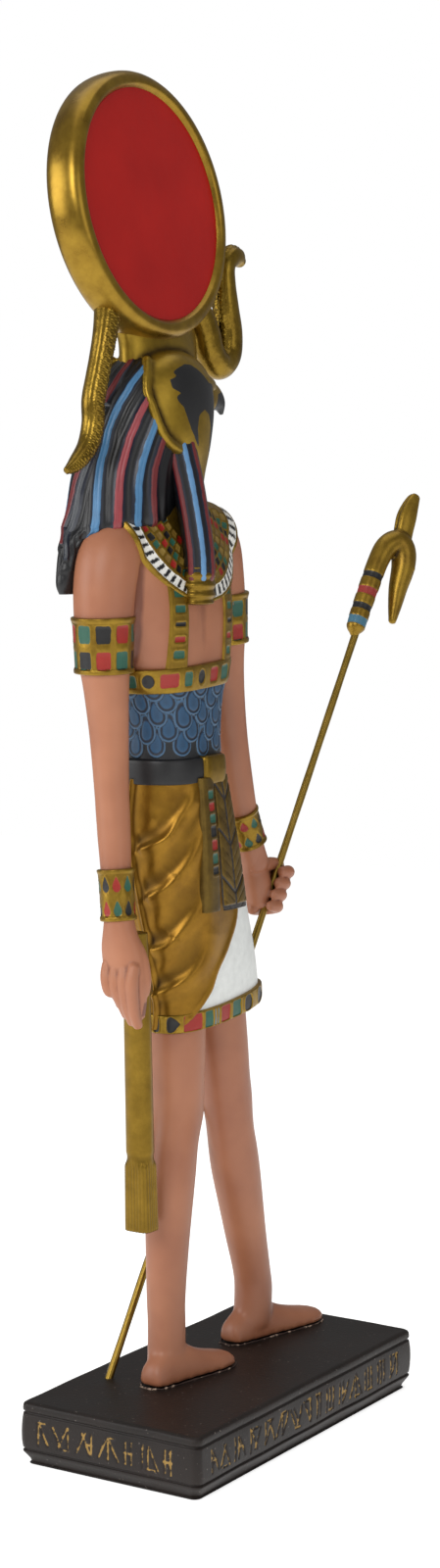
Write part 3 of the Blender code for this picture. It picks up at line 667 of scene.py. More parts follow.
def off_line(u, v, line, wide, high):
    """Signed distance in mm from a line drawn on a wrapped sheet that is `wide` round and `high` up.

    It is above 0 to the left of the line's course, and comes with the share of the line's length."""
    a, b = u * wide, v * high
    path = between(line, np.linspace(0, 1, 60)) * np.array((wide, high))
    best = np.full(len(a), 1e9)
    signed = np.zeros(len(a))
    along = np.zeros(len(a))
    for k in range(len(path) - 1):
        step = path[k + 1] - path[k]
        t = np.clip(((a - path[k, 0]) * step[0] + (b - path[k, 1]) * step[1]) / (step @ step), 0, 1)
        off_a, off_b = a - path[k, 0] - t * step[0], b - path[k, 1] - t * step[1]
        far = np.hypot(off_a, off_b)
        near = far < best
        best = np.where(near, far, best)
        signed = np.where(near, far * np.sign(step[0] * off_b - step[1] * off_a), signed)
        along = np.where(near, (k + t) / (len(path) - 1), along)
    return signed, along


KILT_ROUND, KILT_UP = 84.0, 54.0


def kilt_relief(u, v, x, y, z):
    """Bows over the right hip, pleats behind, and the gold cloth's thickness over the white."""
    out = 0.12 * waves(np.stack([x, y, z], 1), 9.0, 1.1)
    for bow in BOWS:
        off, along = off_line(u, v, bow, KILT_ROUND, KILT_UP)
        width = 1.1 + 3.0 * along
        fade = np.clip(along * 12 + 0.4, 0, 1) * np.clip((1 - along) * 4, 0, 1)
        swell = np.where(off < 0, np.exp(-(off / width) ** 2), np.exp(-(off / (0.45 * width)) ** 2))
        out = out + fade * (0.95 * swell - 0.5 * np.exp(-((off - 1.5 * width) / width) ** 2))
    # The wrap's edge on the right hip is a raised cord of cloth.
    hip = (u - 0.483 - 0.012 * np.sin(7 * v)) * KILT_ROUND
    out = out + 0.85 * np.exp(-(hip / 0.75) ** 2) - 0.35 * np.exp(-((hip + 1.8) / 0.8) ** 2)
    # Behind, narrow pleats hang straight down.
    back = np.clip(np.sin(2 * np.pi * u) * 1.4 - 0.1, 0, 1)
    out = out + 0.28 * back * np.sin(2 * np.pi * 26 * u + 3 * v)
    # The gold cloth lies over the white, with a thick edge.
    edge, _ = off_line(u, v, WRAP_FRONT, KILT_ROUND, KILT_UP)
    thick = 0.55 * np.clip(-edge / 0.5 + 0.5, 0, 1) + 0.3 * np.exp(-((edge + 0.6) / 0.6) ** 2)
    return out + np.where(u > 0.5, thick, 0.55)


kilt = wrapped("kilt", 270, 150, upright(KILT, 2.4, kilt_relief, (HEM_RISE, 0.0)))
u, v = share_of(kilt, "round"), share_of(kilt, "up")
edge, _ = off_line(u, v, WRAP_FRONT, KILT_ROUND, KILT_UP)
far_side = (1.0 - u) * KILT_ROUND - 4.0
note(kilt, "inlay", np.where(u > 0.5, np.minimum(edge, far_side), -5.0))
hollows(kilt, 40)


def gold_paint(name, tint="#6E5519", bright="#8F7127", dark="#2A1A08", roughness=0.34, inlaid=False, painted_shade=0.10,
               grit=500.0, grit_depth=0.0001):
    """Antique gold paint over resin: brushed metal flake, with painted shade darkening the hollows.

    inlaid pieces also carry painted fields, with soft hand-painted edges, in their points' colours."""
    material, tree, shader, place = new_paint(name, tint, roughness, 0.86)
    # Brush marks show as patches some 5 mm across, the flake as grains under half a millimetre.
    cloud = add(tree, "ShaderNodeTexNoise", {"Scale": 190.0, "Detail": 4.0, "Roughness": 0.65},
                {"Vector": place}).outputs[0]
    tone = two_tone(tree, cloud, 0.3, tint, 0.75, bright)
    # Painted shade: hollows are darkened towards the dark colour, and left a little rougher.
    hollow = add(tree, "ShaderNodeAttribute", attribute_name="hollow").outputs["Fac"]
    hollow_shade = add(tree, "ShaderNodeMapRange", {"From Min": 0.0, "From Max": painted_shade, "To Max": 0.9},
                  {"Value": hollow}).outputs[0]
    colour = laid_over(tree, hollow_shade, tone, dark)
    shine = add(tree, "ShaderNodeMapRange", {"To Min": roughness - 0.06, "To Max": roughness + 0.10},
                {"Value": cloud}).outputs[0]
    shine = add(tree, "ShaderNodeMath", {1: 0.3}, {0: hollow_shade, 2: shine}, operation="MULTIPLY_ADD").outputs[0]
    flake = noise(tree, place, grit, 3.0)
    grained(tree, shader, flake, 0.35, grit_depth)
    if inlaid:
        inlay = add(tree, "ShaderNodeAttribute", attribute_name="inlay").outputs["Fac"]
        reach = ragged(tree, noise(tree, place, 650.0, 2.0), 0.35, inlay)
        field = add(tree, "ShaderNodeMapRange", {"From Min": -0.03, "From Max": 0.03}, {"Value": reach}).outputs[0]
        paint = add(tree, "ShaderNodeAttribute", attribute_name="tint").outputs["Color"]
        uneven = add(tree, "ShaderNodeMapRange", {"To Min": 0.82, "To Max": 1.12}, {"Value": flake}).outputs[0]
        paint = add(tree, "ShaderNodeVectorMath", {}, {0: paint, 1: uneven}, operation="MULTIPLY").outputs[0]
        colour = add(tree, "ShaderNodeMix", {}, {0: field, 6: colour, 7: paint}, data_type="RGBA").outputs[2]
        metal = add(tree, "ShaderNodeMapRange", {"To Min": 0.78, "To Max": 0.0}, {"Value": field}).outputs[0]
        tree.links.new(metal, shader.inputs["Metallic"])
        shine = add(tree, "ShaderNodeMix", {3: 0.42}, {0: field, 2: shine}, data_type="FLOAT").outputs[0]
    tree.links.new(colour, shader.inputs["Base Color"])
    tree.links.new(shine, shader.inputs["Roughness"])
    return material


def tinted(piece, code):
    """Keeps one colour on all of a piece's points, for its painted fields."""
    note(piece, "tint", np.tile(linear(code), (len(piece.data.vertices), 1)))


kilt_gold = gold_paint("antique_gold_acrylic_on_cloth", tint="#785413", bright="#956D1F", roughness=0.31, inlaid=True,
                       painted_shade=0.42)
tinted(kilt, "#E4E6E3")
dress(kilt, kilt_gold, "gilt_resin")

# ---------------------------------------------------------------------------------------------
# Hem band
# A flat gold band round the kilt's lower edge, with sunk fields that are filled with paint: drops,
# squares and dots in black, red and green.

RED, GREEN, BLACK, GREY = "#961B0E", "#255846", "#0E0C0D", "#737E84"


def drop_inside(a, b, half_a, half_b):
    """A drop with its point towards +b."""
    up = b + 0.3 * half_b
    pointed = half_a * np.clip(1 - up / (1.3 * half_b), 0, 1) ** 0.8 - np.abs(a)
    rounded = (1 - np.hypot(a / half_a, up / (0.7 * half_b))) * half_a
    return np.where(up > 0, np.minimum(pointed, half_b - b), rounded)


def round_inside(a, b, half_a, half_b):
    """An oval about the origin."""
    return (1 - np.hypot(a / half_a, b / half_b)) * min(half_a, half_b)


def unpainted(count, code):
    """The notes of a piece's points before any field is laid: far outside, in a base colour."""
    return np.full(count, -9.0), np.tile(linear(code), (count, 1))


def lay(inside, tint, depth, code):
    """Lays one more field into the notes where it lies nearer than those before it."""
    nearer = depth > inside
    tint[nearer] = linear(code)
    return np.where(nearer, depth, inside)


def fill_fields(piece, a, b, fields, sink):
    """Notes the painted fields on a piece and sinks them a little below their gold borders.

    A field is (kind, middle a, middle b, half a, half b, colour)."""
    inside, tint = unpainted(len(a), BLACK)
    for kind, at_a, at_b, half_a, half_b, colour in fields:
        if kind == "box":
            depth = box_inside(a - at_a, b - at_b, half_a, half_b, min(half_a, half_b) * 0.35)
        elif kind == "drop":
            depth = drop_inside(a - at_a, b - at_b, half_a, half_b)
        elif kind == "leaf":
            depth = drop_inside(b - at_b, a - at_a, half_b, half_a)
        else:
            depth = round_inside(a - at_a, b - at_b, half_a, half_b)
        inside = lay(inside, tint, depth, colour)
    note(piece, "inlay", inside)
    note(piece, "tint", tint)
    _, normals = points_of(piece)
    dip = np.clip(inside / 0.25 + 0.5, 0, 1)
    lip = np.exp(-((inside + 0.25) / 0.2) ** 2)
    move(piece, normals * (sink * (0.5 * lip - dip))[:, None])


HEM = [
    (1.2, 6.2, 79.2, 17.2, 7.7), (1.2, 6.2, 79.4, 18.2, 8.7), (1.2, 6.2, 79.9, 18.5, 9.0), (1.2, 6.2, 81.5, 18.5, 9.1),
    (1.15, 6.2, 83.0, 18.5, 9.1), (1.1, 6.2, 83.5, 18.2, 9.0), (1.1, 6.2, 83.7, 17.4, 8.2),
]
hem = wrapped("hem_band", 560, 30, upright(
    HEM, 2.4, lambda u, v, x, y, z: 0.08 * waves(np.stack([x, y, z], 1), 4.0), (HEM_RISE, HEM_RISE)))
u, v = share_of(hem, "round"), share_of(hem, "up")
HEM_ROUND, HEM_UP = 88.0, 5.4
# One run of fields: kind, share round where it starts and ends, and its colour. The run repeats.
HEM_RUN = [("leaf", 0.538, 0.584, BLACK), ("box", 0.596, 0.645, RED), ("box", 0.654, 0.674, GREEN),
           ("box", 0.6795, 0.6835, GREY), ("box", 0.688, 0.692, GREY), ("box", 0.699, 0.726, RED),
           ("box", 0.737, 0.765, GREEN), ("round", 0.780, 0.808, BLACK)]
fields = []
for shift in (-0.60, -0.30, 0.0, 0.30):
    for kind, start, stop, colour in HEM_RUN:
        middle, half = (start + stop) / 2 + shift, (stop - start) / 2
        if 0.0 < middle - half and middle + half < 1.0:
            fields.append((kind, middle * HEM_ROUND, HEM_UP * 0.5, half * HEM_ROUND, 1.2, colour))
fill_fields(hem, u * HEM_ROUND, v * HEM_UP, fields, 0.2)
hollows(hem, 10)
trim_gold = gold_paint("antique_gold_acrylic_with_fields", tint="#765A1B", bright="#A08029", inlaid=True, painted_shade=0.10)
dress(hem, trim_gold, "gilt_resin")

# ---------------------------------------------------------------------------------------------
# Apron
# Two narrow ornaments hang from the belt in front: a feathered panel with a chevron pattern, and a
# beaded strip at its left, both moulded in one with the kilt.


def hanging(rows, power):
    """A flat tapering bar that hangs from the belt."""
    return upright(rows, power, dome=0.03)


panel_feather = wrapped("apron_feathers", 110, 130, hanging([
    (0.3, -1.9, 104.0, 5.2, 1.6), (0.0, -1.8, 106.0, 5.3, 1.7), (-1.4, -1.2, 118.0, 4.4, 1.8),
    (-3.4, -0.2, 134.0, 3.2, 1.5),
], 3.6))
points, normals = points_of(panel_feather)
share = np.clip((points[:, 2] - 104) / 30, 0, 1)
middle = 0.3 - 3.7 * share
half = 5.3 - 2.1 * share
a = (points[:, 0] - middle) / half
front = normals[:, 1] < -0.3
barbs = ((points[:, 2] - 104 - 4.4 * np.abs(a)) / 2.4) % 1.0
fine = 0.25 - np.minimum(np.abs(barbs - 0.5) * 2.4, 9)
arrows = np.full(len(points), -9.0)
for level in (107.6, 118.4, 128.4):
    arrows = np.maximum(arrows, 0.42 - np.abs(points[:, 2] - level - 4.6 * np.abs(a)))
spine = 0.30 - np.abs(a) * half
border = np.maximum((np.abs(a) - 0.90) * half, 105.2 - points[:, 2])
arrows = np.minimum(arrows, (0.9 - np.abs(a)) * half)
line = np.where(front, np.maximum(np.maximum(spine, border), arrows), -9.0)
sunk = 0.25 * np.clip(line / 0.3 + 0.6, 0, 1) + np.where(front, 0.10, 0) * np.clip(fine / 0.2, 0, 1)
move(panel_feather, -normals * sunk[:, None])
note(panel_feather, "inlay", line)
tinted(panel_feather, "#241C18")
hollows(panel_feather, 10)
apron_gold = gold_paint("dark_antique_gold_acrylic", tint="#4E3C18", bright="#7A6128", roughness=0.40, inlaid=True,
                        painted_shade=0.06)
dress(panel_feather, apron_gold, "gilt_resin")

strip = wrapped("apron_beads", 70, 150, hanging([
    (-9.2, -2.0, 104.6, 2.9, 1.7), (-9.2, -2.0, 106.0, 3.0, 1.8), (-9.2, -1.6, 118.0, 2.9, 1.8),
    (-8.9, -0.4, 134.0, 2.6, 1.5),
], 3.2))
points, normals = points_of(strip)
fields = []
for level, high, colour in ((113.6, 0.8, BLACK), (116.2, 1.1, GREEN), (119.2, 1.1, RED), (122.2, 1.2, BLACK),
                            (125.0, 0.9, GREEN), (127.6, 0.9, RED), (130.2, 0.9, GREEN)):
    fields.append(("box", -8.6, level, 1.1, high, colour))
fill_fields(strip, points[:, 0], np.where(normals[:, 1] < -0.2, points[:, 2], -99.0), fields, 0.2)
hollows(strip, 10)
dress(strip, apron_gold, "gilt_resin")

# ---------------------------------------------------------------------------------------------
# Belt and buckle
# A smooth black belt, cast on the waist and painted satin black, closed by a square gold buckle.

belt = wrapped("belt", 180, 24, upright([
    (-6.9, 10.0, 132.6, 12.4, 10.0), (-6.9, 10.0, 132.8, 13.2, 10.9), (-6.9, 10.0, 133.3, 13.5, 11.1),
    (-6.95, 10.0, 135.5, 13.5, 11.2), (-7.0, 10.0, 137.7, 13.3, 11.0), (-7.0, 10.0, 138.2, 13.0, 10.7),
    (-7.0, 10.0, 138.4, 12.2, 9.9),
], 2.3, lambda u, v, x, y, z: 0.07 * waves(np.stack([x, y, z], 1), 5.0, 2.0)))
hollows(belt, 10)

# Acrylic black with a satin varnish, slightly grey where it is rubbed.
belt_paint, tree, shader, place = new_paint("satin_black_acrylic", "#1D1C1D", 0.42)
cloud = noise(tree, place, 260.0, 4.0)
tree.links.new(two_tone(tree, cloud, 0.35, "#0D0C0E", 0.8, "#1A191B"), shader.inputs["Base Color"])
satin(tree, shader, cloud, 0.36, 0.52)
grained(tree, shader, cloud, 0.2)
dress(belt, belt_paint, "painted_resin")

buckle = wrapped("belt_buckle", 80, 40, upright([
    (-5.4, 0.4, 132.4, 3.8, 2.0), (-5.4, 0.4, 133.0, 4.2, 2.3), (-5.4, 0.4, 135.4, 4.3, 2.5),
    (-5.4, 0.4, 138.0, 4.2, 2.3), (-5.4, 0.4, 138.6, 3.8, 2.0),
], 4.5, dome=0.05))
hollows(buckle, 10)
plain_gold = gold_paint("antique_gold_acrylic", painted_shade=0.30)
dress(buckle, plain_gold, "gilt_resin")

# ---------------------------------------------------------------------------------------------
# Corselet
# Overlapping feathers cover the waist from the belt to the chest band: raised in the casting and
# painted blue with pale edges, over dark gaps.

FEATHERS_ROUND, FEATHER_ROWS = 13, 6
CORSELET = [(-7.0, 10.0, 137.0, 12.2, 9.9), (-7.0, 10.1, 141.0, 12.15, 9.75), (-7.0, 10.1, 146.0, 12.3, 9.8),
            (-7.2, 10.4, 151.0, 13.5, 10.3), (-7.5, 10.7, 156.0, 15.6, 11.0)]


def feather_field(u, z):
    """How far into its feather each point lies, from 0 at its edge to 1 at its heart, and 0 in the gaps."""
    heart = np.zeros(len(u))
    lift = np.zeros(len(u))
    pitch = 3.15
    for row in range(FEATHER_ROWS):
        base = 138.6 + pitch * row
        shift = 0.5 * (row % 2)
        index = np.floor(u * FEATHERS_ROUND + shift)
        sway = 0.07 * np.sin(5.1 * index + 2.3 * row)
        base = base + 0.45 * np.sin(2.7 * index + 4.1 * row)
        a = ((u * FEATHERS_ROUND + shift) % 1.0 - 0.5 - sway) / 0.42
        b = (z - base - 2.5) / np.where(z < base + 2.5, 2.5, 5.0)
        depth = 1 - np.hypot(a, b) ** 1.3
        here = depth > 0
        heart = np.where(here, depth, heart)
        lift = np.where(here, 0.30 * np.clip(depth * 6, 0, 1) - 0.15 * np.clip((z - base - 2) / 4, 0, 1), lift)
    return heart, lift


def corselet_relief(u, v, x, y, z):
    """Raised feathers, each with a groove round its heart."""
    heart, lift = feather_field(u, z)
    return lift - 0.16 * np.exp(-((heart - 0.42) / 0.10) ** 2)


corselet = wrapped("feather_corselet", 370, 90, upright(CORSELET, 2.6, corselet_relief))
u = share_of(corselet, "round")
points, _ = points_of(corselet)
note(corselet, "heart", feather_field(u, points[:, 2])[0])

# Blue acrylic with pale dry-brushed edges, and blue-black in the grooves.
feather_paint, tree, shader, place = new_paint("blue_feather_acrylic", "#4A82B0", 0.5)
heart = add(tree, "ShaderNodeAttribute", attribute_name="heart").outputs["Fac"]
brushed = noise(tree, place, 900.0, 3.0)
tone = add(tree, "ShaderNodeValToRGB", links={"Fac": ragged(tree, brushed, 0.14, heart)})
ramp = tone.color_ramp
ramp.elements[0].position, ramp.elements[0].color = 0.0, linear("#12151A")
ramp.elements[1].position, ramp.elements[1].color = 1.0, linear("#1D3F5C")
for position, code in ((0.05, "#12151A"), (0.11, "#456480"), (0.24, "#325676"), (0.32, "#0E1726"), (0.48, "#111B2D"),
                       (0.58, "#214A6C")):
    ramp.elements.new(position).color = linear(code)
tree.links.new(tone.outputs["Color"], shader.inputs["Base Color"])
grained(tree, shader, brushed, 0.2)
dress(corselet, feather_paint, "painted_resin")

# ---------------------------------------------------------------------------------------------
# Chest band, straps and collar
# Low bands moulded on the skin: the band under the breast, two straps over it and the broad collar
# round the neck. Each is gold, with small painted fields.


def cut(piece, way, outline, front, deep):
    """Cuts a piece by a block whose outline of (x, height) is drawn from the front."""
    fresh_start()
    bpy.ops.mesh.primitive_circle_add(vertices=len(outline), radius=1.0, fill_type="NGON")
    block = bpy.context.object
    for vertex, (x, z) in zip(block.data.vertices, outline):
        vertex.co = (x * MM, front * MM, (z + SOLE) * MM)
    bpy.ops.object.mode_set(mode="EDIT")
    bpy.ops.mesh.select_all(action="SELECT")
    bpy.ops.mesh.extrude_region_move(TRANSFORM_OT_translate={"value": (0.0, deep * MM, 0.0)})
    bpy.ops.mesh.select_all(action="SELECT")
    bpy.ops.mesh.normals_make_consistent(inside=False)
    bpy.ops.object.mode_set(mode="OBJECT")
    cutter = piece.modifiers.new("cut", "BOOLEAN")
    cutter.operation = way
    cutter.solver = "EXACT"
    cutter.object = block
    fresh_start()
    piece.select_set(True)
    bpy.context.view_layer.objects.active = piece
    bpy.ops.object.modifier_apply(modifier=cutter.name)
    bpy.data.objects.remove(block, do_unlink=True)


def cut_from_skin(name, swell, outline):
    """A band of the skin's own form, a little larger, kept inside an outline drawn from the front."""
    band = copied(chest, name)
    _, normals = points_of(band)
    move(band, normals * swell)
    cut(band, "INTERSECT", outline, -12.0, 45.0)
    assert len(band.data.polygons) > 100, name + " was cut away"
    return band


def finer(piece, times):
    """Splits each face into smaller ones and leaves the form as it is."""
    fresh_start()
    piece.select_set(True)
    bpy.context.view_layer.objects.active = piece
    split = piece.modifiers.new("finer", "SUBSURF")
    split.subdivision_type = "SIMPLE"
    split.levels = split.render_levels = times
    bpy.ops.object.modifier_apply(modifier=split.name)
    bpy.ops.object.shade_smooth()


BAND_RISE = 0.05
chest_band = wrapped("chest_band", 400, 30, upright([
    (-7.3, 10.5, 153.3, 13.6, 9.8), (-7.3, 10.5, 153.4, 14.9, 10.8), (-7.35, 10.6, 153.9, 15.4, 11.2),
    (-7.5, 10.7, 156.2, 16.3, 11.6), (-7.65, 10.8, 158.3, 17.2, 11.8), (-7.7, 10.85, 158.8, 17.0, 11.6),
    (-7.7, 10.85, 158.9, 15.6, 10.6),
], 2.8, lambda u, v, x, y, z: 0.06 * waves(np.stack([x, y, z], 1), 4.0, 0.7), (BAND_RISE, BAND_RISE)))
points, _ = points_of(chest_band)
tilt = points[:, 2] - 155.5 - BAND_RISE * (points[:, 0] + 21)
turn = np.arctan2(points[:, 1] - 11, points[:, 0] + 8)
BAND_ROUND = 14.0
# Each field's kind, middle and half width round the breast, in turns of one radian, and its colour.
fields = []
for middle, half, kind, colour in ((-2.74, 0.085, "round", BLACK), (-2.43, 0.145, "box", RED),
                                   (-2.09, 0.085, "box", GREEN), (-1.74, 0.100, "round", BLACK),
                                   (-1.33, 0.120, "box", RED), (-0.97, 0.120, "box", GREEN),
                                   (-0.70, 0.09, "round", BLACK), (-0.42, 0.11, "box", RED), (-0.15, 0.09, "box", GREEN)):
    for way in (1, -1):
        fields.append((kind, way * middle * BAND_ROUND, 0.0, half * BAND_ROUND, 1.55, colour))
for middle, colour in ((2.98, GREEN), (-2.98, GREEN)):
    fields.append(("box", middle * BAND_ROUND, 0.0, 1.0, 1.4, colour))
fill_fields(chest_band, turn * BAND_ROUND, tilt, fields, 0.18)
hollows(chest_band, 10)
dress(chest_band, trim_gold, "gilt_resin")

for x, half, name in ((-17.6, 2.5, "right_strap"), (1.9, 2.2, "left_strap")):
    strap = cut_from_skin(name, 0.6, [(x - half, 155), (x + half, 155), (x + half, 192), (x - half, 192)])
    finer(strap, 1)
    points, _ = points_of(strap)
    fields = [("box", x, 161.2 + 3.3 * k, half - 1.0, high, colour) for k, (high, colour) in enumerate([
        (0.85, GREEN), (0.6, RED), (0.45, BLACK), (0.8, GREEN),
        (0.8, GREEN), (0.6, RED), (0.45, BLACK), (0.8, GREEN)])]
    fill_fields(strap, points[:, 0], points[:, 2], fields, 0.16)
    hollows(strap, 10)
    dress(strap, trim_gold, "gilt_resin")

collar = cut_from_skin("broad_collar", 1.0, [
    (-8 + 20.9 * math.cos(t), 193 + 20.9 * math.sin(t)) for t in np.linspace(0, 2 * math.pi, 97)[:-1]])
finer(collar, 1)
points, normals = points_of(collar)
ring = np.hypot(points[:, 0] + 8, points[:, 2] - 193)
turn = np.arctan2(points[:, 2] - 193, points[:, 0] + 8)
inside, tint = unpainted(len(points), "#E9E7E0")
band = np.minimum(ring - 17.7, 20.2 - ring)
inside = np.maximum(inside, band)
# Black strokes lean across the white band, and four rows of small coloured squares lie inside it.
stroke = np.abs((turn / (2 * math.pi) * 62 + 0.12 * (ring - 18)) % 1.0 - 0.5) * 1.9
black = (stroke < 0.42) & (band > 0.15)
tint[black] = linear(BLACK)
for row in range(4):
    low = 17.1 - 2.15 * row
    count = 54 - 7 * row
    cell = (turn / (2 * math.pi) * count + 0.5 * (row % 2)) % 1.0 - 0.5
    size = 2 * math.pi * (low - 1.0) / count
    depth = box_inside(cell * size, ring - low + 1.0, size * 0.38, 0.8, 0.2)
    index = np.floor(turn / (2 * math.pi) * count + 0.5 * (row % 2)).astype(int)
    nearer = depth > inside
    for k, code in enumerate((RED, GREEN, "#7A5E22", BLACK, "#8A6F2C")):
        tint[nearer & ((index * 3 + row * 2) % 5 == k)] = linear(code)
    inside = np.where(nearer, depth, inside)
note(collar, "inlay", inside)
note(collar, "tint", tint)
lip = np.exp(-((inside + 0.2) / 0.2) ** 2)
move(collar, normals * (0.12 * lip - 0.12 * np.clip(inside / 0.2, 0, 1))[:, None])
hollows(collar, 10)
dress(collar, trim_gold, "gilt_resin")
bpy.data.objects.remove(chest, do_unlink=True)

# ---------------------------------------------------------------------------------------------
# Arm bands and wrist bands
# Gold bands cast round each upper arm and wrist, with raised rims and two rows of painted fields.


def cuff(name, top, end, radius, mesh, columns, start, upper, lower, kind, high):
    """A band between two points of an arm, with a rim at both ends and two rows of fields.

    The colours of each row run round the arm from the share `start`, from left to right as seen."""
    top, end = np.array(top, float), np.array(end, float)
    axis = top - end
    length = np.linalg.norm(axis)
    rows = []
    for share, out in ((0, -0.7), (0.01, 0.15), (0.05, 0.28), (0.10, 0.1), (0.14, 0.0), (0.5, 0.0), (0.86, 0.0),
                       (0.90, 0.1), (0.95, 0.28), (0.99, 0.15), (1, -0.7)):
        rows.append((*(end + axis * share), radius[1] + (radius[0] - radius[1]) * share + out))
    band = wrapped(name, *mesh, tube(rows, blunt=0.004, tip=0.0))
    points, _ = points_of(band)
    level = (points - end) @ axis / length
    girth = math.pi * sum(radius)
    fields = []
    for k in range(columns):
        for share, colours in ((0.71, upper), (0.25, lower)):
            for lap in (-1, 0, 1):
                middle = (start - k / columns + lap) * girth
                fields.append((kind, middle, share * length, girth / columns * 0.36, high, colours[k % len(colours)]))
    fill_fields(band, share_of(band, "round") * girth, level, fields, 0.16)
    hollows(band, 8)
    dress(band, trim_gold, "gilt_resin")


cuff("right_arm_band", (-30.5, 11.0, 169.8), (-30.2, 11.0, 157.6), (6.7, 6.2), (160, 64), 9, 1.016,
     [GREEN, BLACK, RED], [BLACK, RED, GREEN], "box", 1.9)
cuff("left_arm_band", (15.6, 11.2, 173.1), (16.5, 11.2, 161.5), (6.6, 6.1), (160, 64), 9, 1.016,
     [BLACK, RED, GREEN], [GREEN, BLACK, RED], "box", 1.8)
cuff("right_wrist_band", (-31.5, 7.35, 116.0), (-32.0, 6.3, 104.8), (3.85, 3.7), (120, 56), 9, 1.016,
     [BLACK, RED, GREEN], [RED, GREEN, BLACK], "drop", 1.7)
cuff("left_wrist_band", (24.6, 11.2, 122.4), (28.2, 10.7, 114.4), (4.1, 3.9), (120, 56), 9, 1.016,
     [BLACK, RED, GREEN], [RED, GREEN, BLACK], "drop", 1.2)

# ---------------------------------------------------------------------------------------------
# Falcon's head
# Cast gold, smooth and egg-shaped, with a low brow over the eye and a short hooked beak. A black
# mark with a ragged edge is painted over the cheek, round a gold drop.

NECK = [
    (-4.7, 10.4, 184.0, 6.8, 6.2), (-4.5, 10.4, 192.0, 6.5, 6.0), (-5.6, 10.4, 199.0, 8.3, 7.0),
    (-8.8, 10.2, 206.0, 12.6, 9.0), (-9.0, 10.0, 213.0, 13.6, 9.5), (-9.0, 10.0, 218.5, 13.0, 9.3),
    (-9.0, 10.0, 222.5, 10.8, 8.2), (-9.0, 10.0, 225.4, 7.0, 5.6), (-9.0, 10.0, 226.6, 2.5, 2.0),
]
# A flat stem behind the head joins it to the sun disc.
STEM = [
    (-7.6, 12.2, 217.0, 12.6, 4.8), (-7.4, 12.1, 223.0, 13.0, 4.8), (-7.5, 12.2, 228.0, 13.2, 4.7),
    (-8.2, 12.7, 232.0, 14.2, 4.4), (-9.6, 13.2, 237.0, 16.4, 3.8),
]
BEAK = [
    (-1.0, 10.0, 216.2, 5.6), (4.2, 10.0, 216.6, 4.8), (8.2, 10.0, 216.9, 4.0), (11.4, 10.0, 216.5, 3.0),
    (13.8, 10.0, 215.2, 2.0), (14.8, 10.0, 213.2, 0.8),
]
EYE = (-3.2, 217.9)
parts = [
    wrapped("head form", 120, 130, upright(NECK, 2.2)),
    wrapped("stem", 90, 50, upright(STEM, 2.2)),
    wrapped("beak form", 48, 60, tube(BEAK, flat=0.66)),
]
# The face's gold edge, where the wig meets it: (x, height, how far out to the side).
FACE_EDGE = [
    (-18.8, 224.2, 4.3), (-21.0, 220.5, 5.8), (-22.1, 217.2, 6.6), (-22.0, 214.7, 7.6), (-21.3, 212.0, 8.3),
    (-20.0, 209.0, 8.9), (-18.0, 206.7, 9.4), (-14.8, 205.1, 9.6), (-10.6, 204.4, 9.0), (-7.2, 204.0, 8.0),
]
for side in (-1, 1):
    parts.append(wrapped("face edge", 20, 110, tube(
        [(x + 0.3, 12.1 + side * (out + 0.1), z, 1.05) for x, z, out in FACE_EDGE], side=(0, 1, 0))))
    parts.append(wrapped("brow", 24, 40, tube([
        (-6.0, 10 + side * 7.9, 220.2, 0.9), (-3.0, 10 + side * 7.4, 220.0, 1.1), (0.8, 10 + side * 6.2, 219.4, 1.1),
        (4.6, 10 + side * 4.4, 218.6, 0.8),
    ])))
    parts.append(wrapped("eye", 24, 24, tube([
        (EYE[0] - 1.3, 10 + side * 7.4, EYE[1], 1.0), (EYE[0] + 1.4, 10 + side * 6.7, EYE[1], 1.0)])))
head = melted("falcon_head", parts, 0.48, 2)

MARK = [
    (-11.9, 223.3), (-9.5, 223.2), (-6.7, 221.6), (-3.6, 219.4), (-1.6, 217.5), (1.5, 216.0), (6.0, 214.5),
    (5.0, 210.0), (3.0, 206.0), (0.5, 204.6), (-1.6, 204.4), (-2.6, 206.9), (-3.0, 210.1), (-4.4, 212.6), (-6.6, 213.6),
    (-8.9, 212.5), (-9.2, 209.6), (-8.3, 206.7), (-7.6, 205.2), (-9.5, 206.9), (-11.6, 209.4), (-13.2, 212.1),
    (-14.2, 214.0), (-15.6, 215.2), (-16.1, 216.3), (-14.9, 217.1), (-16.8, 218.1), (-17.1, 219.9),
    (-15.2, 220.6), (-16.0, 221.6),
]


def outline_inside(a, b, outline):
    """How far points lie inside a drawn outline, in mm. Outside it is less than 0."""
    best = np.full(len(a), 1e9)
    odd = np.zeros(len(a), bool)
    for (a0, b0), (a1, b1) in zip(outline, outline[1:] + outline[:1]):
        da, db = a1 - a0, b1 - b0
        t = np.clip(((a - a0) * da + (b - b0) * db) / (da * da + db * db), 0, 1)
        best = np.minimum(best, np.hypot(a - a0 - t * da, b - b0 - t * db))
        crosses = (b0 > b) != (b1 > b)
        odd ^= crosses & (a < a0 + (b - b0) * da / (db if db else 1e-9))
    return np.where(odd, best, -best)


points, _ = points_of(head)
mark = outline_inside(points[:, 0], points[:, 2], MARK)
beak_tip = np.minimum(points[:, 0] - 9.8, 217.2 - points[:, 2] + 0.3 * (points[:, 0] - 9.8))
eye = 0.55 - np.abs(np.hypot((points[:, 0] - EYE[0]) / 1.7, (points[:, 2] - EYE[1]) / 1.0) - 1.0)
note(head, "inlay", np.maximum(np.maximum(mark, beak_tip), np.where(points[:, 0] > -6, eye * 0.8, -5)))
tinted(head, "#161618")
hollows(head, 30)
head_gold = gold_paint("antique_gold_acrylic_on_head", tint="#80651C", bright="#A5862B", inlaid=True, painted_shade=0.30)
dress(head, head_gold, "gilt_resin")

# ---------------------------------------------------------------------------------------------
# Wig
# A heavy striped wig frames the head, falls behind the right shoulder and hangs in one lappet on the
# chest. Its locks are raised and painted black, red and blue.

